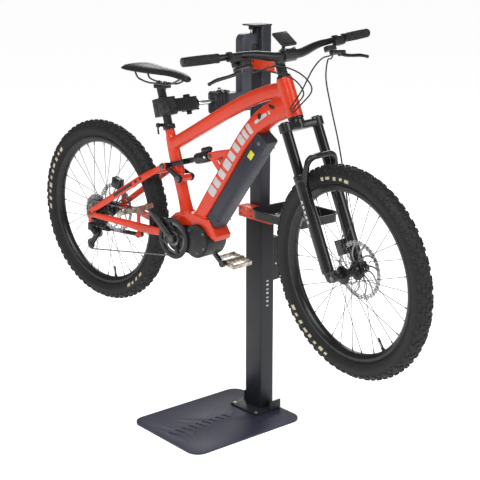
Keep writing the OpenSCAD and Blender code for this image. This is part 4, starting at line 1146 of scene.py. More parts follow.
@dataclass
class Frame:
    """The welded main frame with its small fittings."""

    shop: Workshop
    seat_foot: Flat = (505.0, -20.0)
    seat_top: float = 378.0
    head_low: float = 542.0
    head_len: float = 135.0
    rocker: Flat = (467.0, 200.0)
    shock_front: Flat = (617.0, 303.0)
    down_half: tuple[Flat, ...] = ((30, 34), (33, 35), (33, 35), (33, 35), (36, 34), (38, 31), (38, 25))

    def seat_at(self, z: float) -> Flat:
        """Returns the seat tube's axis at a height in the bike's frame."""
        return (self.seat_foot[0] - 0.3 * (z - self.seat_foot[1]), z)

    def head_at(self, along: float) -> Flat:
        """Returns the point of the steering axis at a distance up it."""
        origin = self.shop.bike.matrix.inverted() @ self.shop.fork.at(0, 0, along)
        return (origin.x, origin.z)

    def down_line(self) -> list[Vector]:
        """Returns the down tube's middle line."""
        end = self.head_at(self.head_low + 42)
        points = ((545, 40), (620, 146), (700, 259), (775, 367), (840, 438), (905, 486), end)
        return smooth_path([(x, 0, z) for x, z in points])

    def top_line(self) -> list[Vector]:
        """Returns the top tube's middle line."""
        a, d = self.seat_at(318), self.head_at(self.head_low + 96)
        a, b, c, d = (Vector((p[0], 0, p[1])) for p in ((a[0] + 8, a[1]), (640, 433), (800, 548), d))
        line = []
        for i in range(37):
            t = i / 36
            s = 1 - t
            line.append(a * s ** 3 + 3 * b * s * s * t + 3 * c * s * t * t + d * t ** 3)
        return line

    def build(self) -> None:
        """Builds and dresses the frame, its marks and its fittings."""
        self.shell()
        self.marks()
        self.fittings()
        self.fasteners()
        self.headset()

    def shell(self) -> None:
        """Melts the tubes, the head tube, the lugs and the motor shell into one welded frame."""
        shape = Shape(self.shop.bike)
        top = self.top_line()
        shape.sweep(top, [(23.8 + 2.7 * i / 36, 20.8) for i in range(37)], 32, 0.72)
        shape.sweep(self.down_line(), smooth_values(self.down_half), 36, 0.7)
        seat = [self.seat_at(z) for z in (45, 120, 230, 300, 345)]
        shape.sweep(smooth_path([(x, 0, z) for x, z in seat]),
                    smooth_values(((26, 26), (25, 18.2), (26, 18.2), (24, 18.2), (19, 18.2))), 28, 0.8)
        low, high = self.seat_at(80), self.seat_at(self.seat_top)
        shape.rod((low[0], 0, low[1]), (high[0], 0, high[1]), 17.8)
        foot, tip = self.head_at(self.head_low), self.head_at(self.head_low + self.head_len)
        shape.rod((foot[0], 0, foot[1]), (tip[0], 0, tip[1]), 27.0, sides=48)
        shape.prism([(456, 40), (486, 70), (520, 84), (556, 82), (628, 72), (668, 18), (662, -2),
                     (560, 40), (470, 26)], -38, 38)
        shape.across(self.rocker, 14, -25.5, 25.5)
        fx, fz = self.shock_front
        for y0 in (-19.0, 12.2):
            y1 = y0 + 6.8
            shape.across(self.shock_front, 14, y0, y1)
            shape.prism([(fx - 6, fz + 13), (720, 340), (740, 330), (690, 314), (648, 298)], y0, y1)
            shape.prism([(740, 330), (672, 238), (664, 276), (690, 314)], y0, y1)
            shape.prism([(fx - 6, fz + 13), (648, 298), (664, 276), (672, 238), (fx + 4, fz - 14)],
                        y0, y1)
        shape.prism([(385, -4), (392, 22), (410, 40), (448, 70), (486, 78), (500, 40), (440, 34),
                     (412, 6), (400, -18)], -33, 33)
        shape.across((398, -8), 14, -33, 33)
        piece = shape.made("frame_shell", voxel=2.1, relax=5)
        self.shop.deliver(piece, Look.FRAME, "frame", "main_frame")

    def patch(self, shape: Shape, first: float, last: float, low: float, high: float,
              lift: float = 0.5) -> None:
        """Lays a thin rounded patch on the down tube's skin.

        Args:
            shape: the mesh to add to.
            first: where it starts along the tube, from 0 at the motor to 1 at the head tube.
            last: where it ends.
            low: its lower edge around the section, in degrees.
            high: its upper edge.
            lift: how far it stands proud.
        """
        line, sizes = self.down_line(), smooth_values(self.down_half)
        rings = []
        for k in range(13):
            t = (first + (last - first) * k / 12) * (len(line) - 1)
            i = min(int(t), len(line) - 2)
            p = line[i].lerp(line[i + 1], t - i)
            along = (line[i + 1] - line[i]).normalized()
            u = Vector((0, 1, 0)).cross(along).normalized()
            v = along.cross(u)
            half = [a + (b - a) * (t - i) for a, b in zip(sizes[i], sizes[i + 1])]
            inset = 0.22 * (high - low) * (k in (0, 12))
            ring = []
            for share, out in ((0, -0.6), (0.33, -0.6), (0.67, -0.6), (1, -0.6), (1, lift),
                               (0.67, lift), (0.33, lift), (0, lift)):
                angle = math.radians(low + inset + (high - low - 2 * inset) * share)
                c, s = math.cos(angle), math.sin(angle)
                ring.append(p + u * (half[0] + out) * math.copysign(abs(c) ** 0.7, c)
                            + v * (half[1] + out) * math.copysign(abs(s) ** 0.7, s))
            rings.append(ring)
        shape.skin(rings)

    def marks(self) -> None:
        """Lays plain upright bars and a long stripe on both sides of the down tube."""
        for side, centre in ((1, 90), (-1, -90)):
            bars = Shape(self.shop.bike)
            for i in range(9):
                start = 0.2 + 0.052 * i
                self.patch(bars, start, start + (0.034 if i % 3 else 0.042), centre - 26, centre + 22)
            name = "down_tube_bars_left" if side > 0 else "down_tube_bars_right"
            self.shop.deliver(bars.made(name), Look.MARK, "frame")
            line = Shape(self.shop.bike)
            self.patch(line, 0.7, 0.83, centre - 4, centre + 4)
            self.patch(line, 0.845, 0.86, centre - 4, centre + 4)
            name = "down_tube_line_left" if side > 0 else "down_tube_line_right"
            self.shop.deliver(line.made(name), Look.MARK, "frame")

    def fittings(self) -> None:
        """Adds the charge port cover, the cable port and the bottle bosses."""
        top = Vector(self.top_line()[30])
        ports = Shape(self.shop.bike)
        ports.rod((870, -29.5, 474), (868, -33.6, 475), 11.5, 10.2)
        ports.rod((868, -33.4, 475), (867.6, -34.6, 475.2), 7.5, 6.8)
        ports.sweep(smooth_path([(905, -20, 514), (912, -25.4, 512), (922, -27.6, 510),
                                 (936, -26.6, 508)]), [(6.5, 3.4)] * 25, power=0.8, ref=(0, 1, 0.1))
        ports.rod((top.x - 60, 0, top.z - 60), (top.x - 61, 0, top.z - 62), 4.0)
        self.shop.deliver(ports.made("frame_ports", bevel=0.6), Look.PLASTIC, "frame")
        bosses = Shape(self.shop.bike)
        for share in (0.47, 0.61):
            line = self.down_line()
            i = int(share * (len(line) - 1))
            along = (line[i + 1] - line[i]).normalized()
            out = Vector((-along.z, 0, along.x))
            bosses.rod(line[i] + out * 32.4, line[i] + out * 35.4, 5.6, 5.0)
            bosses.rod(line[i] + out * 35.4, line[i] + out * 37.2, 4.2, sides=6)
        self.shop.deliver(bosses.made("bottle_bosses", bevel=0.4), Look.STEEL, "frame")

    def fasteners(self) -> None:
        """Makes the pivot bolts and the split seat collar."""
        shape = Shape(self.shop.bike)
        x, z = self.rocker
        shape.across(self.rocker, 8, -36, 36)
        for side in (-1, 1):
            shape.rod((x, side * 36, z), (x, side * 40, z), 12, 10.8)
            shape.rod((x, side * 39.8, z), (x, side * 40.0, z), 4.5, sides=6)
            fx, fz = self.shock_front
            shape.rod((fx, side * 19.4, fz), (fx, side * 23, fz), 8, 7.2)
        shape.across(self.shock_front, 4.9, -22, 22)
        self.shop.deliver(shape.made("pivot_bolts", bevel=0.5), Look.STEEL, "frame",
                          "frame_fasteners")
        low, high = self.seat_at(self.seat_top - 8), self.seat_at(self.seat_top + 9.2)
        collar = Shape(self.shop.bike)
        a, b = Vector((low[0], 0, low[1])), Vector((high[0], 0, high[1]))
        collar.rod(a, b, 23, 23, 48)
        collar.rod(a.lerp(b, 0.12), a.lerp(b, 0.2), 23.6, sides=48)
        x = self.seat_at(self.seat_top)[0]
        collar.box((x - 30, -11, self.seat_top - 2), (x - 21, -1.2, self.seat_top + 10))
        collar.box((x - 30, 1.2, self.seat_top - 2), (x - 21, 11, self.seat_top + 10))
        self.shop.deliver(collar.made("seat_collar", bevel=0.8), Look.ALLOY, "frame")
        lever = Shape(self.shop.bike)
        px, pz = x - 37, self.seat_top + 4
        lever.across((px, pz), 6, -17, 17)
        lever.across((px, pz), 9, -25, -17)
        lever.sweep(smooth_path([(px, -21, pz), (px - 0.5, -21.5, pz - 14), (px, -20.5, pz - 26),
                                 (px + 0.5, -19.4, pz - 33.5)]), [(3, 2.6)] * 8 + [(3, 3.0)] * 17,
                    power=0.7, ref=(0, 1, 0))
        self.shop.deliver(lever.made("seat_lever_arm", bevel=0.5), Look.ALLOY, "seat_qr_lever",
                          "seat_qr_lever")

    def headset(self) -> None:
        """Makes the lower cup and the tapered upper cover with its seal lines."""
        shape = Shape(self.shop.fork)
        top = self.head_low + self.head_len
        for z0, z1, r0, r1 in ((self.head_low - 8, self.head_low - 0.4, 26.2, 27),
                               (self.head_low - 0.4, self.head_low + 1, 26.4, 26.4),
                               (top, top + 2.4, 25, 25), (top + 2.9, top + 9, 24.8, 21.5)):
            shape.rod((0, 0, z0), (0, 0, z1), r0, r1, 48)
        self.shop.deliver(shape.made("headset_cups", bevel=0.5), Look.ALLOY, "frame", "headset")


@dataclass
class Power:
    """The battery on the down tube and the motor at the bottom bracket."""

    shop: Workshop
    bottom: Flat = (464.0, -20.0)
    foot: Flat = (607.0, 77.0)
    head: Flat = (856.0, 418.0)
    offset: float = 29.0
    length: float = 424.0

    def build(self) -> None:
        """Builds and dresses the battery and the motor."""
        self.shop.refined("battery", Look.BATTERY, 5.0, 4)
        self.battery_lines()
        self.shop.refined("motor", Look.ALLOY, 3.0, 3)
        self.motor_details()

    def battery_lines(self) -> None:
        """Adds the shell's seam, the lock, the plain tab and the raised side panel."""
        place = self.shop.bike.aimed(self.foot, self.head).shifted(self.offset, 0, 0)
        panel = Shape(place)
        for side in (-1, 1):
            face = side * 33.0
            panel.prism([(-14, 46), (16, 46), (16, self.length - 46), (-14, self.length - 46)],
                        min(face, face + side * 0.8), max(face, face + side * 0.8))
        panel.box((28.0, -20, 60), (28.9, 20, self.length - 60))
        self.shop.deliver(panel.made("battery_panels", bevel=0.7), Look.BATTERY, "frame")
        seam = Shape(place)
        for z in (34, self.length - 34):
            seam.box((-26, -33.35, z), (28.6, 33.35, z + 1.4))
        self.shop.deliver(seam.made("battery_seams"), Look.MARK_DARK, "frame")
        tab = Shape(place)
        tab.box((-10, -34.0, self.length - 96), (12, -33.6, self.length - 66))
        tab.box((-10, 33.6, self.length - 96), (12, 34.0, self.length - 66))
        self.shop.deliver(tab.made("battery_tab", bevel=0.2), Look.LABEL, "frame")
        lock = Shape(place)
        lock.rod((4, -33, self.length - 22), (4, -35.2, self.length - 22), 8.5, 7.6)
        lock.rod((4, -35.2, self.length - 22), (4, -35.8, self.length - 22), 4.6)
        self.shop.deliver(lock.made("battery_lock", bevel=0.4), Look.STEEL, "frame")

    def motor_details(self) -> None:
        """Adds the motor's cover screws, its cooling fins and the side covers' rims."""
        fins = Shape(self.shop.bike)
        x, z = self.bottom
        for i in range(9):
            y = -40 + 10 * i
            fins.prism(circle_flat((567, -12), 64.6, -130, 10, 20)
                       + circle_flat((567, -12), 56, 10, -130, 20), y - 1.6, y + 1.6)
        for y0, y1 in ((-52.8, -50.5), (50.5, 52.8)):
            outline = circle_flat((572, -10), 50, -88, 62, 18) + circle_flat((x, z), 40, 118, 272, 18)
            fins.prism(outline, y0, y1)
        self.shop.deliver(fins.made("motor_covers", bevel=1.2), Look.BLACK_PART, "frame")
        bolts = Shape(self.shop.bike)
        for side in (-1, 1):
            for px, pz in ((612, 20), (616, -34), (584, -58), (516, -58), (540, 22)):
                bolts.rod((px, side * 51.5, pz), (px, side * 53.2, pz), 4.4, 4.0, 20)
                bolts.rod((px, side * 53.2, pz), (px, side * 53.5, pz), 2.2, sides=6)
        self.shop.deliver(bolts.made("motor_bolts", bevel=0.3), Look.STEEL, "frame")


# ---------------------------------------------------------------- the saddle

@dataclass
class Saddle:
    """The saddle, its rails and the seat post."""

    shop: Workshop
    line: tuple[Flat, ...] = ((186, 586), (200, 586), (250, 584), (320, 580), (400, 577), (455, 570),
                              (490, 562), (497, 559))
    half: tuple[Flat, ...] = ((5, 52), (13, 66), (15, 68), (13, 48), (12, 26), (12, 20), (9, 15), (3, 7))
    rail_z: float = 548.0

    def build(self) -> None:
        """Builds and dresses the cover, the base, the rails and the post."""
        self.cover()
        self.base()
        self.post()

    def section(self, at: Vector, half: Flat, drop: float) -> list[Vector]:
        """Returns one crowned section of the cover, closed underneath.

        Args:
            at: the middle of the section.
            half: half depth and half width.
            drop: how far the side skirts hang below the middle.

        Returns:
            The ring of points.
        """
        ring = []
        for k in range(28):
            angle = TURN * (k + 0.5) / 28
            c, s = math.cos(angle), math.sin(angle)
            across = half[1] * math.copysign(abs(c) ** 0.8, c)
            share = abs(across / half[1])
            if s > 0:
                up = half[0] * s ** 0.75 - half[0] * 0.35 * share ** 3
                up -= half[0] * 0.16 * math.exp(-(across / 9) ** 2) * (half[1] > 40)
            else:
                up = -half[0] * 0.55 * abs(s) ** 0.6 - drop * share ** 4 * 0.2
            ring.append(Vector((at.x, across, at.z + up)))
        return ring

    def cover(self) -> None:
        """Lofts the crowned cover and its seam."""
        path = smooth_path([(x, 0, z) for x, z in self.line], 6)
        sizes = smooth_values(self.half, 6)
        shape = Shape(self.shop.bike)
        shape.skin([self.section(p, size, 6.0) for p, size in zip(path, sizes)])
        piece = shape.made("saddle_cover", subdivide=1, angle=60)
        self.shop.deliver(piece, Look.SADDLE, "clamp", "saddle")
        for side in (-1, 1):
            seam = Shape(self.shop.bike)
            line = [Vector((p.x, side * h[1] * 0.72, p.z + h[0] * 0.8)) for p, h in
                    zip(path[4:-6], sizes[4:-6])]
            for a, b in zip(line, line[1:]):
                seam.rod(a, a.lerp(b, 0.62), 0.55, sides=8)
            name = "saddle_seam_left" if side > 0 else "saddle_seam_right"
            self.shop.deliver(seam.made(name), Look.STITCH, "clamp")

    def base(self) -> None:
        """Makes the moulded base and the two rails."""
        base = Shape(self.shop.bike)
        path = smooth_path([(x, 0, z - 8) for x, z in self.line[1:-1]], 6)
        sizes = smooth_values([(3.2, w * 0.8) for _, w in self.half[1:-1]], 6)
        base.sweep(path, sizes, 24, 0.8)
        self.shop.deliver(base.made("saddle_base", bevel=0.8), Look.PLASTIC, "clamp")
        rails = Shape(self.shop.bike)
        z = self.rail_z
        for side in (-1, 1):
            points = [(236, side * 30, z + 24), (246, side * 27, z + 4), (262, side * 23, z - 5),
                      (300, side * 22, z - 12), (350, side * 22, z - 12), (400, side * 22, z - 12),
                      (432, side * 20, z - 3), (462, side * 14, z + 12), (474, side * 10, z + 20)]
            rails.sweep(smooth_path(points), (3.5, 3.5), 16, ref=(0, 1, 0.05))
        self.shop.deliver(rails.made("saddle_rails"), Look.STEEL, "clamp")

    def post(self) -> None:
        """Makes the seat post, its head and the two clamp bolts."""
        low, top = (422.5, 255.0), (343.0, 518.0)
        shape = Shape(self.shop.bike)
        shape.rod((low[0], 0, low[1]), (top[0], 0, top[1]), 15.8, sides=48)
        self.shop.deliver(shape.made("seat_post_tube", bevel=0.5), Look.ALLOY, "clamp")
        self.shop.refined("seat_post", Look.ALLOY, 1.6)
        bolts = Shape(self.shop.bike)
        for x in (335, 369):
            bolts.rod((x, 0, 512), (x, 0, 543), 3.0)
            bolts.rod((x, 0, 541), (x, 0, 544.6), 5.6, sides=24)
        self.shop.deliver(bolts.made("seat_clamp_bolts", bevel=0.4), Look.STEEL, "clamp")


# ---------------------------------------------------------------- rear suspension

@dataclass
class Suspension:
    """The chainstays, the seatstays, the rocker, the shock and what they carry."""

    shop: Workshop
    main: Flat = (398.0, -8.0)
    horst: Flat = (29.0, 0.0)
    rocker: Flat = (467.0, 200.0)
    link: Flat = (393.0, 238.0)
    shock: Flat = (617.0, 303.0)
    stay_y: float = 46.5
    leg_at: Flat = (104.0, -100.0)

    def build(self) -> None:
        """Builds and dresses the whole rear end, wheel apart."""
        self.chainstays()
        self.seatstays()
        self.rocker_link()
        self.shock_units()
        self.axle_and_brake()
        self.kickstand()

    def chainstays(self) -> None:
        """Melts the two chainstays with their pivot bosses and adds the pivot caps."""
        shape = Shape(self.shop.bike)
        y = self.stay_y
        for side in (-1, 1):
            points = [(self.main[0] + 6, side * y, self.main[1]), (360, side * y, -14),
                      (300, side * (y + 2), -15), (210, side * 62, -9), (110, side * 80, -2),
                      (self.horst[0] + 4, side * 89, self.horst[1])]
            sizes = ((15, 5.2), (16, 5.2), (17, 5.4), (15, 6.4), (12, 5.9), (10, 3.9))
            shape.sweep(smooth_path(points), smooth_values(sizes), 24, 0.7)
            shape.across(self.main, 14, side * y - 5.3, side * y + 5.3)
            shape.across(self.horst, 11, min(side * 84, side * 92), max(side * 84, side * 92))
        shape.box((96, 80, -104), (112, 88, -4))
        shape.across(self.leg_at, 12, 74, 88)
        piece = shape.made("chainstay_pair", voxel=1.5, relax=4)
        self.shop.deliver(piece, Look.FRAME, "chainstays", "chainstays")
        caps = Shape(self.shop.bike)
        x, z = self.main
        caps.across(self.main, 8, -y, y)
        for side in (-1, 1):
            caps.rod((x, side * (y + 5.2), z), (x, side * (y + 6.6), z), 10, 9)
            hx, hz = self.horst
            caps.rod((hx, side * 91.5, hz), (hx, side * 93.8, hz), 8, 7.2)
        self.shop.deliver(caps.made("chainstay_caps", bevel=0.4), Look.STEEL, "chainstays")

    def seatstays(self) -> None:
        """Melts the two seatstays, their bridge and dropouts, and lays the plain dark mark."""
        shape = Shape(self.shop.bike)
        run = [(8, 79, 10), (60, 77, 40), (200, 64, 126), (300, 52, 186), (345, 43, 211),
               (self.link[0] - 4, 40, self.link[1] - 3)]
        sizes = ((12, 4.4), (12, 5.9), (13, 6.4), (13, 5.9), (12, 5.4), (10, 4.7))
        for side in (-1, 1):
            points = [(x, side * y, z) for x, y, z in run]
            shape.sweep(smooth_path(points), smooth_values(sizes), 24, 0.7)
            a, b = sorted((side * 75.5, side * 82.5))
            shape.across((0, 0), 16, a, b)
            shape.across(self.horst, 11, a, b)
            shape.box((0, a, -9), (self.horst[0], b, 9))
            a, b = sorted((side * 35.2, side * 44.4))
            shape.across(self.link, 13, a, b)
        shape.across((338, 207), 9, -46, 46)
        shape.box((12, 73, 18), (36, 79, 80))
        shape.box((-8, -82.5, -36), (10, -75.5, 0))
        piece = shape.made("seatstay_pair", voxel=1.5, relax=4)
        self.shop.deliver(piece, Look.FRAME, "seatstays", "seatstays")
        for side in (-1, 1):
            mark = Shape(self.shop.bike)
            line = smooth_path([(x, side * (y + half[1] + 0.25), z)
                                for (x, y, z), half in zip(run, sizes)])
            for first, last in ((13, 19), (20, 21), (22, 23)):
                mark.sweep(line[first:last + 1], (5.4, 0.35), 12, 0.5, ref=(0, 1, 0))
            name = "seatstay_mark_left" if side > 0 else "seatstay_mark_right"
            self.shop.deliver(mark.made(name), Look.MARK_DARK, "seatstays")

    def rocker_link(self) -> None:
        """Makes the two waisted rocker plates with their bolts."""
        plates = Shape(self.shop.bike)
        (ax, az), (bx, bz) = self.rocker, self.link
        for side in (-1, 1):
            y0, y1 = sorted((side * 26.2, side * 33))
            plates.across(self.rocker, 16, y0, y1)
            plates.across(self.link, 12, y0, y1)
            d = Vector((bx - ax, bz - az)).normalized()
            n = Vector((-d.y, d.x))
            a, b = Vector((ax, az)), Vector((bx, bz))
            mid = a.lerp(b, 0.5)
            plates.prism([tuple(a + n * 13.5), tuple(mid + n * 8.5), tuple(b + n * 10.5),
                          tuple(b - n * 10.5), tuple(mid - n * 8.5), tuple(a - n * 13.5)], y0, y1)
        piece = plates.made("rocker_plates", voxel=1.0, relax=4)
        self.shop.deliver(piece, Look.ALLOY, "rocker", "rocker_link")
        pins = Shape(self.shop.bike)
        for side in (-1, 1):
            pins.rod((bx, side * 19, bz), (bx, side * 50, bz), 5)
            pins.rod((bx, side * 46, bz), (bx, side * 50.9, bz), 11.4, 10.2)
            pins.rod((bx, side * 50.5, bz), (bx, side * 51, bz), 4.4, sides=6)
        self.shop.deliver(pins.made("rocker_pins", bevel=0.4), Look.STEEL, "rocker")

    def shock_units(self) -> None:
        """Makes the shock's yoke and shaft, its air can, its reservoir and its adjusters."""
        place = self.shop.bike.aimed(self.link, self.shock)
        yoke = Shape(place)
        for side in (-1, 1):
            y0, y1 = sorted((side * 19.3, side * 25))
            yoke.box((-8.5, y0, 0), (8.5, y1, 90))
            yoke.rod((0, y0, 0), (0, y1, 0), 11.4)
        yoke.box((-10.5, -26, 82), (10.5, 26, 98))
        self.shop.deliver(yoke.made("shock_yoke", bevel=1.6), Look.ALLOY, "shock_shaft",
                          "shock_shaft")
        shaft = Shape(place)
        shaft.rod((0, 0, 90), (0, 0, 172), 8.0)
        self.shop.deliver(shaft.made("shock_rod"), Look.STANCHION, "shock_shaft")
        length = math.dist(self.link, self.shock)
        bored = place.turned(90, "X")
        sleeve = Shape(bored)
        sleeve.lathe([(8.2, 146), (18.6, 146), (19, 150), (20.6, 151), (20.6, 162), (20, 162.4),
                      (20.9, 163), (20.9, 204), (20.2, 204.5), (19.4, 205), (19.4, 213), (18.8, 214),
                      (8.2, 214)], 64)
        self.shop.deliver(sleeve.made("shock_sleeve", angle=30), Look.FORK, "shock_body")
        can = Shape(place)
        can.rod((0, 0, 212.6), (0, 0, length), 9.8)
        can.rod((0, -11.5, length), (0, 11.5, length), 10.9)
        can.rod((-24, 0, 186), (-24, 0, 222), 10.9)
        can.rod((-24, 0, 222), (-24, 0, 229), 8.5, 7.6)
        can.box((-22, -7, 196), (-10, 7, 212))
        self.shop.deliver(can.made("shock_can", bevel=0.8), Look.FORK, "shock_body", "shock_body")
        dial = Shape(place)
        dial.rod((0, -21.0, 206), (0, -12, 206), 5.2)
        dial.rod((14, 0, 222), (19.6, 0, 222), 4.4)
        dial.rod((0, 19.5, 176), (0, 20.95, 176), 4.0)
        self.shop.deliver(dial.made("shock_dials", bevel=0.4), Look.CHROME, "shock_body")
        band = Shape(bored)
        band.lathe([(20.7, 168), (21, 168), (21, 198), (20.7, 198)], 64)
        self.shop.deliver(band.made("shock_band", bevel=0.2), Look.MARK_DARK, "shock_body")

    def axle_and_brake(self) -> None:
        """Makes the rear axle bolt, its nut and the caliper with its pistons."""
        axle = Shape(self.shop.bike)
        axle.across((0, 0), 6, -88, 82.6)
        axle.rod((0, 82.7, 0), (0, 88, 0), 9, 8, 6)
        axle.rod((0, -88, 0), (0, -83.2, 0), 7.6, 8.6)
        self.shop.deliver(axle.made("rear_axle_bolt", bevel=0.5), Look.STEEL, "seatstays",
                          "rear_axle_and_brake")
        turned = self.shop.bike.shifted(4, 44, 58).turned(-80, "Y")
        caliper = Shape(turned)
        caliper.box((23, 0.5, -23), (65, 5.2, 23))
        caliper.box((23, 12.4, -23), (65, 26.5, 23))
        caliper.box((44, 0.5, -20), (65, 26.5, 20))
        for x, z in ((34, -10), (34, 10)):
            caliper.rod((x, 26, z), (x, 27, z), 7.5, 6.6)
        self.shop.deliver(caliper.made("rear_caliper", bevel=2.2, segments=3), Look.FORK, "seatstays")

    def kickstand(self) -> None:
        """Makes the folded side stand with its ribbed foot."""
        x, z = self.leg_at
        leg = Shape(self.shop.bike)
        leg.rod((x, 88.4, z), (x, 100, z), 12)
        place = self.shop.bike.shifted(x, 98, z - 4).turned(-93, "Y")
        arm = Shape(place)
        arm.rod((0, 0, 0), (0, 0, 196), 8.9, 8.0)
        arm.rod((0, 0, 24), (0, 0, 40), 9.0)
        self.shop.deliver(arm.made("side_stand_leg", bevel=0.5), Look.ALLOY, "kickstand",
                          "kickstand")
        self.shop.deliver(leg.made("side_stand_pivot", bevel=1.2), Look.ALLOY, "kickstand")
        foot = Shape(place)
        foot.rod((0, 0, 192), (0, 0, 240), 8.9, 8.9)
        for i in range(6):
            foot.rod((0, 0, 202 + 7 * i), (0, 0, 206 + 7 * i), 11.9)
        self.shop.deliver(foot.made("side_stand_foot", bevel=0.7), Look.RUBBER, "kickstand")


# ---------------------------------------------------------------- drivetrain

@dataclass
class Drivetrain:
    """The cranks, the pedals, the chain and everything that the chain runs on."""

    shop: Workshop
    bottom: Flat = (464.0, -20.0)
    ring_r: float = 66.0
    chain_y: float = -56.0
    crank_len: float = 160.0
    crank_angle: float = 141.5
    crank_y: float = 70.0
    guide: Flat = (24.0, -76.0)
    tension: Flat = (-26.0, -134.0)
    pulley_r: float = 19.0
    cog_r: float = 45.0

    def pedal_at(self, side: int) -> Flat:
        """Returns a pedal axle's place: side -1 is the right pedal."""
        angle = math.radians(self.crank_angle + (180 if side > 0 else 0))
        return (self.bottom[0] + self.crank_len * math.cos(angle),
                self.bottom[1] + self.crank_len * math.sin(angle))

    def build(self) -> None:
        """Builds and dresses the drivetrain."""
        self.ring()
        self.arms()
        for side in (-1, 1):
            self.pedal(side)
        self.cassette()
        self.derailleur()
        self.chain()

    def toothed(self, shape: Shape, radius: float, teeth: int, y0: float, y1: float,
                bore: float) -> None:
        """Adds a thin sprocket with real teeth.

        Args:
            shape: the mesh to add to.
            radius: radius over the teeth.
            teeth: how many.
            y0: its right face.
            y1: its left face.
            bore: radius of the hole.
        """
        rings = []
        steps = teeth * 6
        for i in range(steps):
            angle = TURN * i / steps
            out = radius - (0.0, 0.6, 3.4, 4.0, 3.4, 0.6)[i % 6]
            rings.append([Vector((r * math.cos(angle), y, r * math.sin(angle)))
                          for r, y in ((bore, y0), (out, y0), (out, y1), (bore, y1))])
        shape.skin(rings, loop=True)

    def ring(self) -> None:
        """Makes the chainring, its spider, its carrier and the clear-edged guard."""
        x, z = self.bottom
        place = self.shop.bike.shifted(x, 0, z)
        ring = Shape(place)
        self.toothed(ring, self.ring_r, 34, self.chain_y - 1.4, self.chain_y + 1.4, 49)
        for i in range(4):
            a = math.radians(90 * i + 20)
            ring.sweep([(14 * math.cos(a), self.chain_y + 0.9, 14 * math.sin(a)),
                        (54 * math.cos(a), self.chain_y + 0.6, 54 * math.sin(a))],
                       [(9, 1.3), (6, 1.3)], 16, 0.6)
        ring.lathe([(12.2, self.chain_y - 5.8), (29, self.chain_y - 5.8), (29, self.chain_y + 3.9),
                    (12.2, self.chain_y + 3.9)], 60)
        self.shop.deliver(ring.made("chainring_teeth", bevel=0.3), Look.STEEL, "cranks", "chainring")
        guard = Shape(place)
        guard.lathe([(60, self.chain_y - 5.9), (76, self.chain_y - 5.9), (78, self.chain_y - 5.2),
                     (78, self.chain_y - 4.2), (76, self.chain_y - 3.9), (60, self.chain_y - 3.9)],
                    96)
        for i in range(4):
            a = math.radians(90 * i + 20)
            guard.sweep([(28 * math.cos(a), self.chain_y - 4.9, 28 * math.sin(a)),
                         (62 * math.cos(a), self.chain_y - 4.9, 62 * math.sin(a))],
                        [(8, 0.95), (7, 0.95)], 12, 0.4)
        self.shop.deliver(guard.made("chainring_guard", bevel=0.3), Look.ALLOY, "cranks")

    def arms(self) -> None:
        """Makes the two tapered crank arms, the axle and its bolts."""
        arms = Shape(self.shop.bike)
        for side in (-1, 1):
            tip, y = self.pedal_at(side), side * self.crank_y
            (ax, az), (bx, bz) = self.bottom, tip
            arms.across(self.bottom, 18.8, y - 6.8, y + 6.8)
            arms.across(tip, 13.8, y - 6.8, y + 6.8)
            mid = [(ax + (bx - ax) * t, y, az + (bz - az) * t) for t in (0.04, 0.35, 0.7, 0.97)]
            arms.sweep(smooth_path(mid), smooth_values(((12.8, 6.3), (12.2, 6.3), (11.2, 6.0),
                                                        (10.5, 6.0))), 24, 0.62)
        arms.across(self.bottom, 12, -self.crank_y, self.crank_y)
        piece = arms.made("crank_arms", voxel=1.2, relax=4)
        self.shop.deliver(piece, Look.FORK, "cranks", "cranks")
        bolts = Shape(self.shop.bike)
        for side in (-1, 1):
            (ax, az), (bx, bz) = self.bottom, self.pedal_at(side)
            y = side * self.crank_y
            bolts.rod((ax, y + side * 6.2, az), (ax, y + side * 7, az), 9.5, 8.8)
            bolts.rod((bx, y, bz), (bx, y + side * 110, bz), 5.0)
        self.shop.deliver(bolts.made("pedal_spindles", bevel=0.3), Look.STEEL, "cranks")

    def pedal(self, side: int) -> None:
        """Makes one flat pedal: a cage with cross bars, a core and rows of pins."""
        at = self.pedal_at(side)
        body = "pedal_right" if side < 0 else "pedal_left"
        angle = 20 if side < 0 else -12
        place = self.shop.bike.shifted(at[0], side * (self.crank_y + 62), at[1]).turned(-angle, "Y")
        cage = Shape(place)
        for end in (-1, 1):
            a, b = sorted((end * 40, end * 49.5))
            cage.box((-48, a, -8), (48, b, 8))
            a, b = sorted((end * 41, end * 48.5))
            cage.box((a, -49, -8.5), (b, 49, 8.5))
            cage.box((min(end * 12, end * 41), -44, -5), (max(end * 12, end * 41), -36, 5))
        cage.rod((0, -49.5, 0), (0, 49.5, 0), 10.8)
        cage.box((-12, -49, -7), (12, 49, 7))
        self.shop.deliver(cage.made(body + "_cage", bevel=1.6), Look.PEDAL, body, body)
        pins = Shape(place)
        for x in (-45, -32, -15, 15, 32, 45):
            for y in (-44.5, 44.5):
                pins.rod((x, y, -8.9), (x, y, 8.9), 1.7, sides=10)
        for y in (-28, -10, 10, 28):
            for x in (-45, 45):
                pins.rod((x, y, -8.9), (x, y, 8.9), 1.7, sides=10)
        self.shop.deliver(pins.made(body + "_pins", bevel=0.2), Look.ZINC, body)

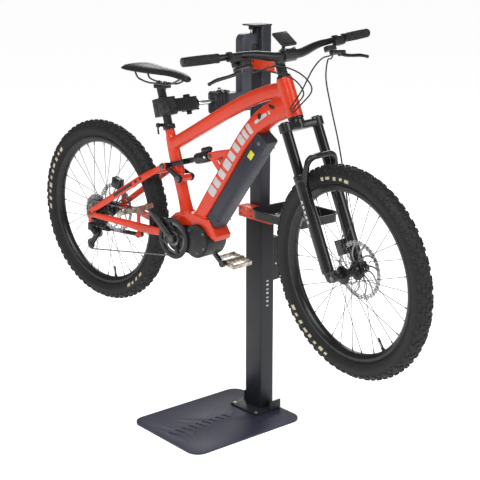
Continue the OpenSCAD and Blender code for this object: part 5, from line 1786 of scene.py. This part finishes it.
    def cassette(self) -> None:
        """Makes the eight sprockets and their carrier."""
        shape = Shape(self.shop.bike)
        for i in range(8):
            radius = self.cog_r if i == 3 else 25 + 6.8 * i
            y = -67 + 3.9 * i
            self.toothed(shape, radius, int(radius * 0.5), y - 0.85, y + 0.85,
                         max(16.5, radius - 17))
            for k in range(5 if radius > 40 else 0):
                a = TURN * k / 5 + i * 0.21
                shape.sweep([(15 * math.cos(a), y, 15 * math.sin(a)),
                             ((radius - 15) * math.cos(a + 0.3), y, (radius - 15) * math.sin(a + 0.3))],
                            (4.5, 0.8), 10, 0.5)
        shape.lathe([(6.1, -70), (17, -70), (17, -37), (6.1, -37)], 48)
        self.shop.deliver(shape.made("cassette_sprockets", angle=25), Look.STEEL, "cassette",
                          "cassette")

    def derailleur(self) -> None:
        """Makes the derailleur's knuckles, cage plates and toothed pulleys."""
        self.shop.refined("derailleur", Look.ALLOY, 1.4)
        detail = Shape(self.shop.bike)
        detail.rod((6, -75.2, -28), (6, -77.2, -28), 9, 8.2)
        detail.rod((6, -77, -28), (6, -77.6, -28), 4, sides=6)
        for x, z in (self.guide, self.tension):
            detail.rod((x, -62.4, z), (x, -64.5, z), 5.4, 4.8)
            detail.lathe([(0.5, -62), (1, -62), (1, -61.9), (0.5, -61.9)], 8)
        self.shop.deliver(detail.made("derailleur_bolts", bevel=0.3), Look.STEEL, "seatstays")
        teeth = Shape(self.shop.bike)
        for centre in (self.guide, self.tension):
            wheel = [Vector((centre[0] + r * math.cos(TURN * k / 72), y,
                             centre[1] + r * math.sin(TURN * k / 72)))
                     for y in (-57.4, -54.6) for k in range(72)
                     for r in (self.pulley_r + 1.4 - 3.0 * (k % 6 < 3),)]
            teeth.skin([wheel[:72], wheel[72:]])
        self.shop.deliver(teeth.made("jockey_wheels", bevel=0.2), Look.PLASTIC, "seatstays")

    def chain(self) -> None:
        """Lays plates and rollers along the chain's line."""
        run = []
        for centre, radius, a0, a1, n in ((self.bottom, self.ring_r + 3.2, 98, -84, 40),
                                          (self.tension, self.pulley_r + 3.2, -84, -248, 20),
                                          (self.guide, self.pulley_r + 3.2, -58, 62, 16),
                                          ((0.0, 0.0), self.cog_r + 3.2, -110, -262, 24)):
            run += circle_flat(centre, radius - 1.6, a0, a1, n)
        line = [Vector((x, self.chain_y, z)) for x, z in run]
        line.append(line[0])
        lengths = [(b - a).length for a, b in zip(line, line[1:])]
        count = 2 * round(sum(lengths) / 25.4)
        pitch = sum(lengths) / count
        pins, walked, i = [], 0.0, 0
        for k in range(count):
            while walked + lengths[i] < k * pitch:
                walked += lengths[i]
                i += 1
            pins.append(line[i].lerp(line[i + 1], (k * pitch - walked) / lengths[i]))
        shape = Shape(self.shop.bike)
        for k, a in enumerate(pins):
            b = pins[(k + 1) % count]
            wide = 2.3 if k % 2 else 1.5
            for side in (-1, 1):
                y = self.chain_y + side * wide
                path = [(a.x, y, a.z), a.lerp(b, 0.3) + Vector((0, side * wide, 0)),
                        a.lerp(b, 0.7) + Vector((0, side * wide, 0)), (b.x, y, b.z)]
                shape.sweep(path, [(2.6, 0.35), (2.0, 0.35), (2.0, 0.35), (2.6, 0.35)], 8, 0.8)
            shape.rod((a.x, self.chain_y - 2.7, a.z), (a.x, self.chain_y + 2.7, a.z), 1.7, sides=8)
        piece = shape.made("chain_links")
        bike = self.shop.bike
        self.shop.bent(piece, Look.STEEL, ("frame", "chainstays"),
                       (bike.at(400, self.chain_y, 0), bike.at(120, self.chain_y, 0)), "chain")


# ---------------------------------------------------------------- the front end

@dataclass
class Fork:
    """The suspension fork."""

    shop: Workshop
    head_low: float = 542.0
    leg_f: float = 18.0
    leg_y: float = 66.0
    offset: float = 42.0
    tube_r: float = 17.5
    lower_r: float = 21.5

    def build(self) -> None:
        """Builds and dresses the crown, the tubes, the lowers, the caliper and the axle."""
        self.crown()
        self.lowers()
        self.caliper()

    def crown(self) -> None:
        """Melts the crown's shoulders and makes the steerer and the upper tubes."""
        shape = Shape(self.shop.fork)
        low, high = self.head_low - 46, self.head_low - 16
        rings = []
        for i in range(13):
            t = -1 + i / 6
            y = t * self.leg_y
            f = self.leg_f * abs(t) ** 0.8
            drop = 4 * abs(t) ** 2
            centre = Vector((f, y, (low + high) / 2 - drop * 0.3))
            rings.append(ring_points(centre, Vector((1, 0, 0)), Vector((0, 0, 1)),
                                     (21.5, 14.6 - drop * 0.2), 28, 0.7))
        shape.skin(rings)
        for side in (-1, 1):
            shape.rod((self.leg_f, side * self.leg_y, low), (self.leg_f, side * self.leg_y, high),
                      22.8, sides=48)
        shape.rod((0, 0, low + 2), (0, 0, self.head_low - 8.4), 24.8, 24.8, 48)
        piece = shape.made("fork_crown_casting", voxel=1.5, relax=4)
        self.shop.deliver(piece, Look.FORK, "steering", "fork_crown")
        steerer = Shape(self.shop.fork)
        steerer.rod((0, 0, self.head_low - 20), (0, 0, 756), 14.2)
        for side in (-1, 1):
            at = (self.leg_f, side * self.leg_y)
            steerer.rod((*at, self.head_low - 16), (*at, self.head_low - 12.1), 14, 12.8, 48)
        self.shop.deliver(steerer.made("fork_steerer", bevel=0.6), Look.ALLOY, "steering")
        tubes = Shape(self.shop.fork)
        for side in (-1, 1):
            at = (self.leg_f, side * self.leg_y)
            tubes.rod((*at, 150), (*at, low + 4), self.tube_r, sides=64)
        self.shop.deliver(tubes.made("fork_upper_tubes"), Look.STANCHION, "steering")

    def lowers(self) -> None:
        """Melts the two lower legs, the arch that joins them and the dropouts."""
        shape = Shape(self.shop.fork)
        for side in (-1, 1):
            at = (self.leg_f, side * self.leg_y)
            shape.rod((*at, 20), (*at, 349), self.lower_r - 0.7, self.lower_r, 48)
            shape.rod((*at, 331), (*at, 351.6), 22.8, sides=48)
            shape.rod((self.leg_f + 4, side * self.leg_y, -8), (self.leg_f, side * self.leg_y, 46),
                      14, 20.5, 40)
            shape.rod((self.offset, side * (self.leg_y - 9), 0), (self.offset, side * (self.leg_y + 9),
                                                                 0), 15.6, sides=40)
            shape.box((self.leg_f - 2, side * self.leg_y - 8.6, -14),
                      (self.offset + 8, side * self.leg_y + 8.6, 24))
        arch = [(self.leg_f + 6, self.leg_y, 300), (self.leg_f + 24, self.leg_y - 3, 340),
                (self.leg_f + 44, 56, 378), (self.leg_f + 53, 40, 392), (self.leg_f + 54, 16, 394)]
        line = arch + [(x, -y, z) for x, y, z in arch[::-1]]
        shape.sweep(smooth_path(line), smooth_values([(13, 9), (13, 9), (12, 9.5), (11, 9.5),
                                                     (10.5, 9.5)] * 2), 24, 0.55, ref=(0.3, 0, 1))
        piece = shape.made("fork_lower_casting", voxel=1.6, relax=4)
        self.shop.deliver(piece, Look.FORK, "fork_lowers", "fork_lowers")
        wipers = Shape(self.shop.fork)
        for side in (-1, 1):
            at = (self.leg_f, side * self.leg_y)
            wipers.rod((*at, 349), (*at, 351.9), 21.6, 19.4, 48)
            wipers.rod((*at, 13.6), (*at, 20.4), 9, sides=6)
        self.shop.deliver(wipers.made("fork_wipers", bevel=0.4), Look.RUBBER, "fork_lowers")
        axle = Shape(self.shop.fork)
        axle.across((self.offset, 0), 5.9, -79, 79)
        for side in (-1, 1):
            axle.rod((self.offset, side * 74.8, 0), (self.offset, side * 79.8, 0), 9.8, 8.8)
        self.shop.deliver(axle.made("front_axle_bolt", bevel=0.4), Look.STEEL, "fork_lowers")
        marks = Shape(self.shop.fork)
        for side in (-1, 1):
            for i in range(5):
                z = 190 + 17 * i
                y = side * (self.leg_y + self.lower_r)
                marks.box((self.leg_f - 4, y - 0.6, z), (self.leg_f + 4, y + 0.2, z + 10))
        self.shop.deliver(marks.made("fork_marks"), Look.MARK, "fork_lowers")

    def caliper(self) -> None:
        """Makes the front caliper's two halves, its bridge, mount and pads."""
        f = self.leg_f
        shape = Shape(self.shop.fork)
        shape.box((f - 46, 30.2, 62), (f - 16.2, 39.1, 114))
        shape.box((f - 46, 45.8, 62), (f - 16.2, 63.9, 114))
        shape.box((f - 46, 30.2, 99), (f - 36, 63.9, 114))
        shape.box((f - 24, 55, 66), (f - 17.7, 62.9, 106))
        for z in (74, 98):
            shape.rod((f - 31, 63, z), (f - 31, 63.9, z), 6.8, 6.2)
        self.shop.deliver(shape.made("front_caliper", bevel=2.0, segments=3), Look.FORK,
                          "fork_lowers")
        bolts = Shape(self.shop.fork)
        for z in (70, 102):
            bolts.rod((f - 20.4, 54, z), (f - 20.4, 52.4, z), 3.0, 2.7, 20)
        self.shop.deliver(bolts.made("front_caliper_bolts", bevel=0.3), Look.STEEL, "fork_lowers")


@dataclass
class Cockpit:
    """The stem, the bar, the grips, the levers, the display and the hoses."""

    shop: Workshop
    stem_s: float = 739.0
    head_top: float = 677.0
    bar: tuple[Point, ...] = ((55, 0, 0), (55, 46, 0), (54, 76, 5), (51, 130, 18), (47, 190, 25),
                              (26, 388, 37))
    grip_from: float = 262.0
    lever_s: float = 724.0
    hoses: tuple[tuple[Point, ...], ...] = (
        ((60, -165, 712), (80, -110, 690), (95, -40, 650), (88, -10, 600), (62, -32, 572),
         (30, -34, 560)),
        ((56, -170, 700), (96, -90, 700), (112, -20, 660), (104, 14, 604), (66, -22, 566),
         (30, -31, 553)),
        ((60, 165, 712), (92, 100, 700), (114, 30, 664), (98, -20, 610), (60, -38, 580),
         (28, -36, 567)),
        ((58, 170, 702), (96, 120, 690), (104, 84, 630), (88, 84, 540), (64, 92, 420), (40, 92, 300),
         (8, 94, 190), (-6, 84, 150), (-14, 58, 117.5)))

    def on_bar(self, y: float, side: int = 1) -> Vector:
        """Returns the bar's axis at a distance from the middle, on its outer stretch."""
        a, b = Vector(self.bar[4]), Vector(self.bar[5])
        p = a + (b - a) * ((y - a.y) / (b.y - a.y))
        return Vector((p.x, side * p.y, p.z + self.stem_s))

    def build(self) -> None:
        """Builds and dresses everything above the crown."""
        self.stem()
        self.handlebar()
        self.grips()
        self.controls()
        self.display()
        self.hose_set()

    def stem(self) -> None:
        """Melts the stem and adds its spacers, top cap, faceplate and bolts."""
        s = self.stem_s
        shape = Shape(self.shop.fork)
        shape.rod((0, 0, s - 20), (0, 0, s + 20), 18.5, sides=48)
        shape.sweep([(8, 0, s), (50, 0, s)], [(16.5, 16.5), (16.5, 16.5)], 32, 0.65, ref=(0, 1, 0))
        shape.rod((55, -25.5, s), (55, 25.5, s), 22.6, sides=48)
        piece = shape.made("stem_body", voxel=1.3, relax=4)
        self.shop.deliver(piece, Look.FORK, "steering", "stem")
        ring = Shape(self.shop.fork)
        z = self.head_top + 9.5
        while z < s - 21:
            top = min(z + 9.4, s - 20.2)
            ring.rod((0, 0, z), (0, 0, top), 17, sides=48)
            z = top + 0.5
        ring.rod((0, 0, s + 20.3), (0, 0, s + 23.9), 18.4, 16.8, 48)
        self.shop.deliver(ring.made("stem_spacers", bevel=0.5), Look.ALLOY, "steering")
        bolts = Shape(self.shop.fork)
        for y in (-19, 19):
            for dz in (-17, 17):
                bolts.rod((68, y, s + dz), (74.5, y, s + dz * 0.93), 4.2, 3.9, 20)
        for dz in (-12, 12):
            bolts.rod((-16.6, -9, s + dz), (-16.6, -14.4, s + dz), 3.9, sides=20)
        bolts.rod((0, 0, s + 23.6), (0, 0, s + 24), 5.2, sides=6)
        self.shop.deliver(bolts.made("stem_bolts", bevel=0.4), Look.STEEL, "steering")

    def handlebar(self) -> None:
        """Sweeps the tapered, swept-back bar."""
        half = list(self.bar)
        points = [(x, -y, z) for x, y, z in half[:0:-1]] + half
        radii = (11.1, 11.1, 13.5, 15.85, 15.85, 15.85, 15.85, 15.85, 13.5, 11.1, 11.1)
        line = smooth_path([(x, y, z + self.stem_s) for x, y, z in points])
        shape = Shape(self.shop.fork)
        sizes = [(min(a, 15.85), min(b, 15.85)) for a, b in smooth_values([(r, r) for r in radii])]
        shape.sweep(line, sizes, 32, ref=(1, 0, 0))
        self.shop.deliver(shape.made("bar_tube"), Look.ALLOY, "steering", "handlebar")

    def grips(self) -> None:
        """Makes the two ribbed grips with their clamp rings and end plugs."""
        grips, rings = Shape(self.shop.fork), Shape(self.shop.fork)
        for side in (-1, 1):
            a, b = self.on_bar(self.grip_from, side), self.on_bar(387, side)
            steps = 34
            path, sizes = [], []
            for i in range(steps + 1):
                t = i / steps
                path += [a.lerp(b, (i + d) / (steps + 1)) for d in (0.02, 0.42, 0.5, 0.92)]
                swell = 14.7 + 0.9 * math.sin(math.pi * t) + 0.4 * t
                sizes += [(swell, swell), (swell, swell), (swell - 0.9, swell - 0.9),
                          (swell - 0.9, swell - 0.9)]
            grips.sweep(path, sizes, 32, ref=(1, 0, 0))
            along = (b - a).normalized()
            rings.rod(a - along * 0.2, a + along * 7, 15.8, sides=40)
            rings.rod(b - along * 4, b + along * 2.4, 15.6, 14.0, 40)
        self.shop.deliver(grips.made("grip_pair", angle=30), Look.RUBBER, "steering", "grips")
        self.shop.deliver(rings.made("grip_rings", bevel=0.6), Look.ALLOY, "steering")

    def controls(self) -> None:
        """Makes the lever bodies, the clamps, the shift pod and the two brake levers."""
        self.shop.refined("controls", Look.PLASTIC, 2.2, 3)
        masters = Shape(self.shop.fork)
        for side in (-1, 1):
            masters.rod((68, side * 168, self.lever_s - 4), (61, side * 232, self.lever_s - 8), 9.0, 7.6)
            c = self.on_bar(222, side)
            masters.rod((c.x + 19, c.y, c.z - 9), (c.x + 19.9, c.y, c.z - 9), 4.4, 4.0, 20)
        self.shop.deliver(masters.made("brake_masters", bevel=1.0), Look.FORK, "steering")
        for side, body in ((-1, "brake_lever_right"), (1, "brake_lever_left")):
            s = self.lever_s
            blade = Shape(self.shop.fork)
            points = [(66, 206, s - 12), (64, 232, s - 20), (60, 262, s - 24), (56, 300, s - 27),
                      (54, 330, s - 34)]
            line = smooth_path([(x, side * y, z) for x, y, z in points])
            blade.sweep(line, smooth_values(((6, 4.8), (6, 5), (5.6, 3.4), (6, 3.6), (5.0, 4.2))),
                        20, 0.8, ref=(1, 0, 0))
            blade.rod((61.2, side * 206, s - 12), (70.8, side * 206, s - 12), 8)
            centre = Vector((54, side * 332, s - 35))
            blade.skin([ring_points(centre + Vector((0, side * 6.3 * math.cos(a), 0)),
                                    Vector((1, 0, 0)), Vector((0, 0, 1)),
                                    (6.3 * math.sin(a), 6.3 * math.sin(a)), 20, 1.0)
                        for a in (math.pi * (k + 0.5) / 10 for k in range(10))])
            self.shop.deliver(blade.made(body + "_blade", bevel=0.4), Look.ALLOY, body, body)
            pin = Shape(self.shop.fork)
            pin.rod((60.6, side * 206, s - 12), (71.4, side * 206, s - 12), 3.2)
            self.shop.deliver(pin.made(body + "_pin", bevel=0.3), Look.STEEL, body)

    def display(self) -> None:
        """Makes the display's case, its dark glass and its bracket."""
        place = self.shop.fork.shifted(60, 0, self.stem_s + 52).turned(56, "Y")
        case = Shape(place)
        case.box((-34, -30, -5), (32, 30, 5))
        piece = case.made("display_case", bevel=3.2, segments=3)
        self.shop.deliver(piece, Look.PLASTIC, "steering")
        glass = Shape(place)
        glass.box((-29, -26, 4.4), (24, 26, 5.3))
        self.shop.deliver(glass.made("display_glass", bevel=0.4), Look.SCREEN, "steering")
        arm = Shape(self.shop.fork)
        s = self.stem_s
        arm.sweep(smooth_path([(12, 0, s + 22), (32, 0, s + 25), (44, 0, s + 31), (52, 0, s + 42)]),
                  (3.0, 6.0), 16, 0.6, ref=(0, 1, 0))
        self.shop.deliver(arm.made("display_arm", bevel=0.4), Look.PLASTIC, "steering")

    def hose_set(self) -> None:
        """Sweeps the smooth hoses, each running between two bodies and baked in place."""
        fork = self.shop.fork
        for number, route in enumerate(self.hoses, 1):
            shape = Shape(fork)
            side = math.copysign(1, route[0][1])
            root = (route[0][0] + 5, side * 182, self.lever_s - 6)
            shape.sweep(smooth_path([root, *route], 12), (2.5, 2.5), 14, ref=(1, 0.1, 0))
            piece = shape.made(f"hose_{number}")
            to_fork = number == len(self.hoses)
            far = "fork_lowers" if to_fork else "frame"
            start = fork.at(*(route[2] if to_fork else route[1]))
            end = fork.at(*(route[-3] if to_fork else route[-1]))
            nodes = ("hoses",) if number == 1 else ()
            self.shop.bent(piece, Look.HOSE, ("steering", far), (start, end), *nodes)
        clips = Shape(fork)
        clips.rod((-7, 88, 196), (22, 78, 196), 2.2, sides=12)
        clips.rod((8, 94, 186), (8, 94, 202), 4.6, sides=20)
        self.shop.deliver(clips.made("hose_clip", bevel=0.4), Look.PLASTIC, "fork_lowers")


# ---------------------------------------------------------------- the studio

@dataclass
class Studio:
    """The pale floor, the soft lights and the camera."""

    target: Point = (0.009, -0.112, 0.749)
    distance: float = 4.6
    azimuth: float = 50.21
    elevation: float = 15.07
    lens: float = 86.5

    def build(self) -> None:
        """Sets up the floor, the lights and the camera."""
        self.floor()
        self.world()
        self.light("key_light", (2.2, -3.4, 4.2), 2.6, 115)
        self.light("side_light", (4.2, 0.6, 2.6), 2.2, 55)
        self.light("back_light", (-2.8, 2.6, 3.4), 2.0, 60)
        self.sun()
        self.camera()

    def floor(self) -> None:
        """Lays the wide pale floor, slightly bright so that it stays even."""
        mesh = bpy.data.meshes.new("studio_floor")
        half = 40.0
        mesh.from_pydata([(-half, -half, 0), (half, -half, 0), (half, half, 0), (-half, half, 0)], [],
                         [(0, 1, 2, 3)])
        floor = bpy.data.objects.new("studio_floor", mesh)
        bpy.context.scene.collection.objects.link(floor)
        material = bpy.data.materials.new("studio floor white")
        material.use_nodes = True
        shader = material.node_tree.nodes["Principled BSDF"]
        shader.inputs["Base Color"].default_value = (0.92, 0.92, 0.92, 1)
        shader.inputs["Roughness"].default_value = 0.9
        shader.inputs["Emission Color"].default_value = (1, 1, 1, 1)
        shader.inputs["Emission Strength"].default_value = 0.55
        mesh.materials.append(material)

    @staticmethod
    def world() -> None:
        """Lights the room evenly with a white surround."""
        world = bpy.data.worlds.new("studio_surround")
        world.use_nodes = True
        world.node_tree.nodes["Background"].inputs["Color"].default_value = (1, 1, 1, 1)
        world.node_tree.nodes["Background"].inputs["Strength"].default_value = 0.22
        bpy.context.scene.world = world
        bpy.context.scene.view_settings.view_transform = "Standard"

    @staticmethod
    def light(name: str, at: Point, size: float, power: float) -> None:
        """Hangs a square soft light that faces the bike.

        Args:
            name: the light's name.
            at: where it hangs, in metres.
            size: its edge length, in metres.
            power: its power, in watts.
        """
        data = bpy.data.lights.new(name, "AREA")
        data.shape = "SQUARE"
        data.size = size
        data.energy = power
        lamp = bpy.data.objects.new(name, data)
        lamp.location = at
        aim = Vector((0, -0.3, 0.9)) - Vector(at)
        lamp.rotation_euler = aim.to_track_quat("-Z", "Y").to_euler()
        bpy.context.scene.collection.objects.link(lamp)

    @staticmethod
    def sun() -> None:
        """Adds a soft high sun for the contact shadows."""
        data = bpy.data.lights.new("soft_sun", "SUN")
        data.energy = 0.9
        data.angle = math.radians(40)
        lamp = bpy.data.objects.new("soft_sun", data)
        lamp.rotation_euler = (math.radians(22), math.radians(14), 0)
        bpy.context.scene.collection.objects.link(lamp)

    def camera(self) -> None:
        """Places the camera at the view's angle."""
        data = bpy.data.cameras.new("view_camera")
        data.lens = self.lens
        data.sensor_width = 36.0
        data.clip_end = 300.0
        camera = bpy.data.objects.new("view_camera", data)
        a, e = math.radians(self.azimuth), math.radians(self.elevation)
        back = Vector((math.sin(a) * math.cos(e), -math.cos(a) * math.cos(e), math.sin(e)))
        camera.location = Vector(self.target) + back * self.distance
        camera.rotation_euler = back.to_track_quat("Z", "Y").to_euler()
        bpy.context.scene.collection.objects.link(camera)
        bpy.context.scene.camera = camera


def wheels(shop: Workshop) -> list[Wheel]:
    """Returns the rear and the front wheel with their places.

    Args:
        shop: the workshop that holds the frame's places.

    Returns:
        The two wheels.
    """
    front = shop.fork.shifted(42, 0, 0)
    return [Wheel(shop, "rear", shop.bike, "rear_wheel", 52.0,
                  ((135.0, 10), (300.0, 4)), 14.5, (70.0, 36.0)),
            Wheel(shop, "front", front, "front_wheel", 41.5,
                  ((190.0, 8), (60.0, 5)), 15.5, (53.0, 53.0))]


def main() -> None:
    """Builds every sub-assembly in order."""
    logging.basicConfig(level=logging.INFO, format="%(message)s")
    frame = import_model()
    shop = Workshop(frame)
    for assembly in (Stand(shop), Frame(shop), Power(shop), Suspension(shop), Drivetrain(shop),
                     *wheels(shop), Fork(shop), Cockpit(shop), Saddle(shop), Studio()):
        assembly.build()
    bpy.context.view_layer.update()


if __name__ == "__main__":
    main()
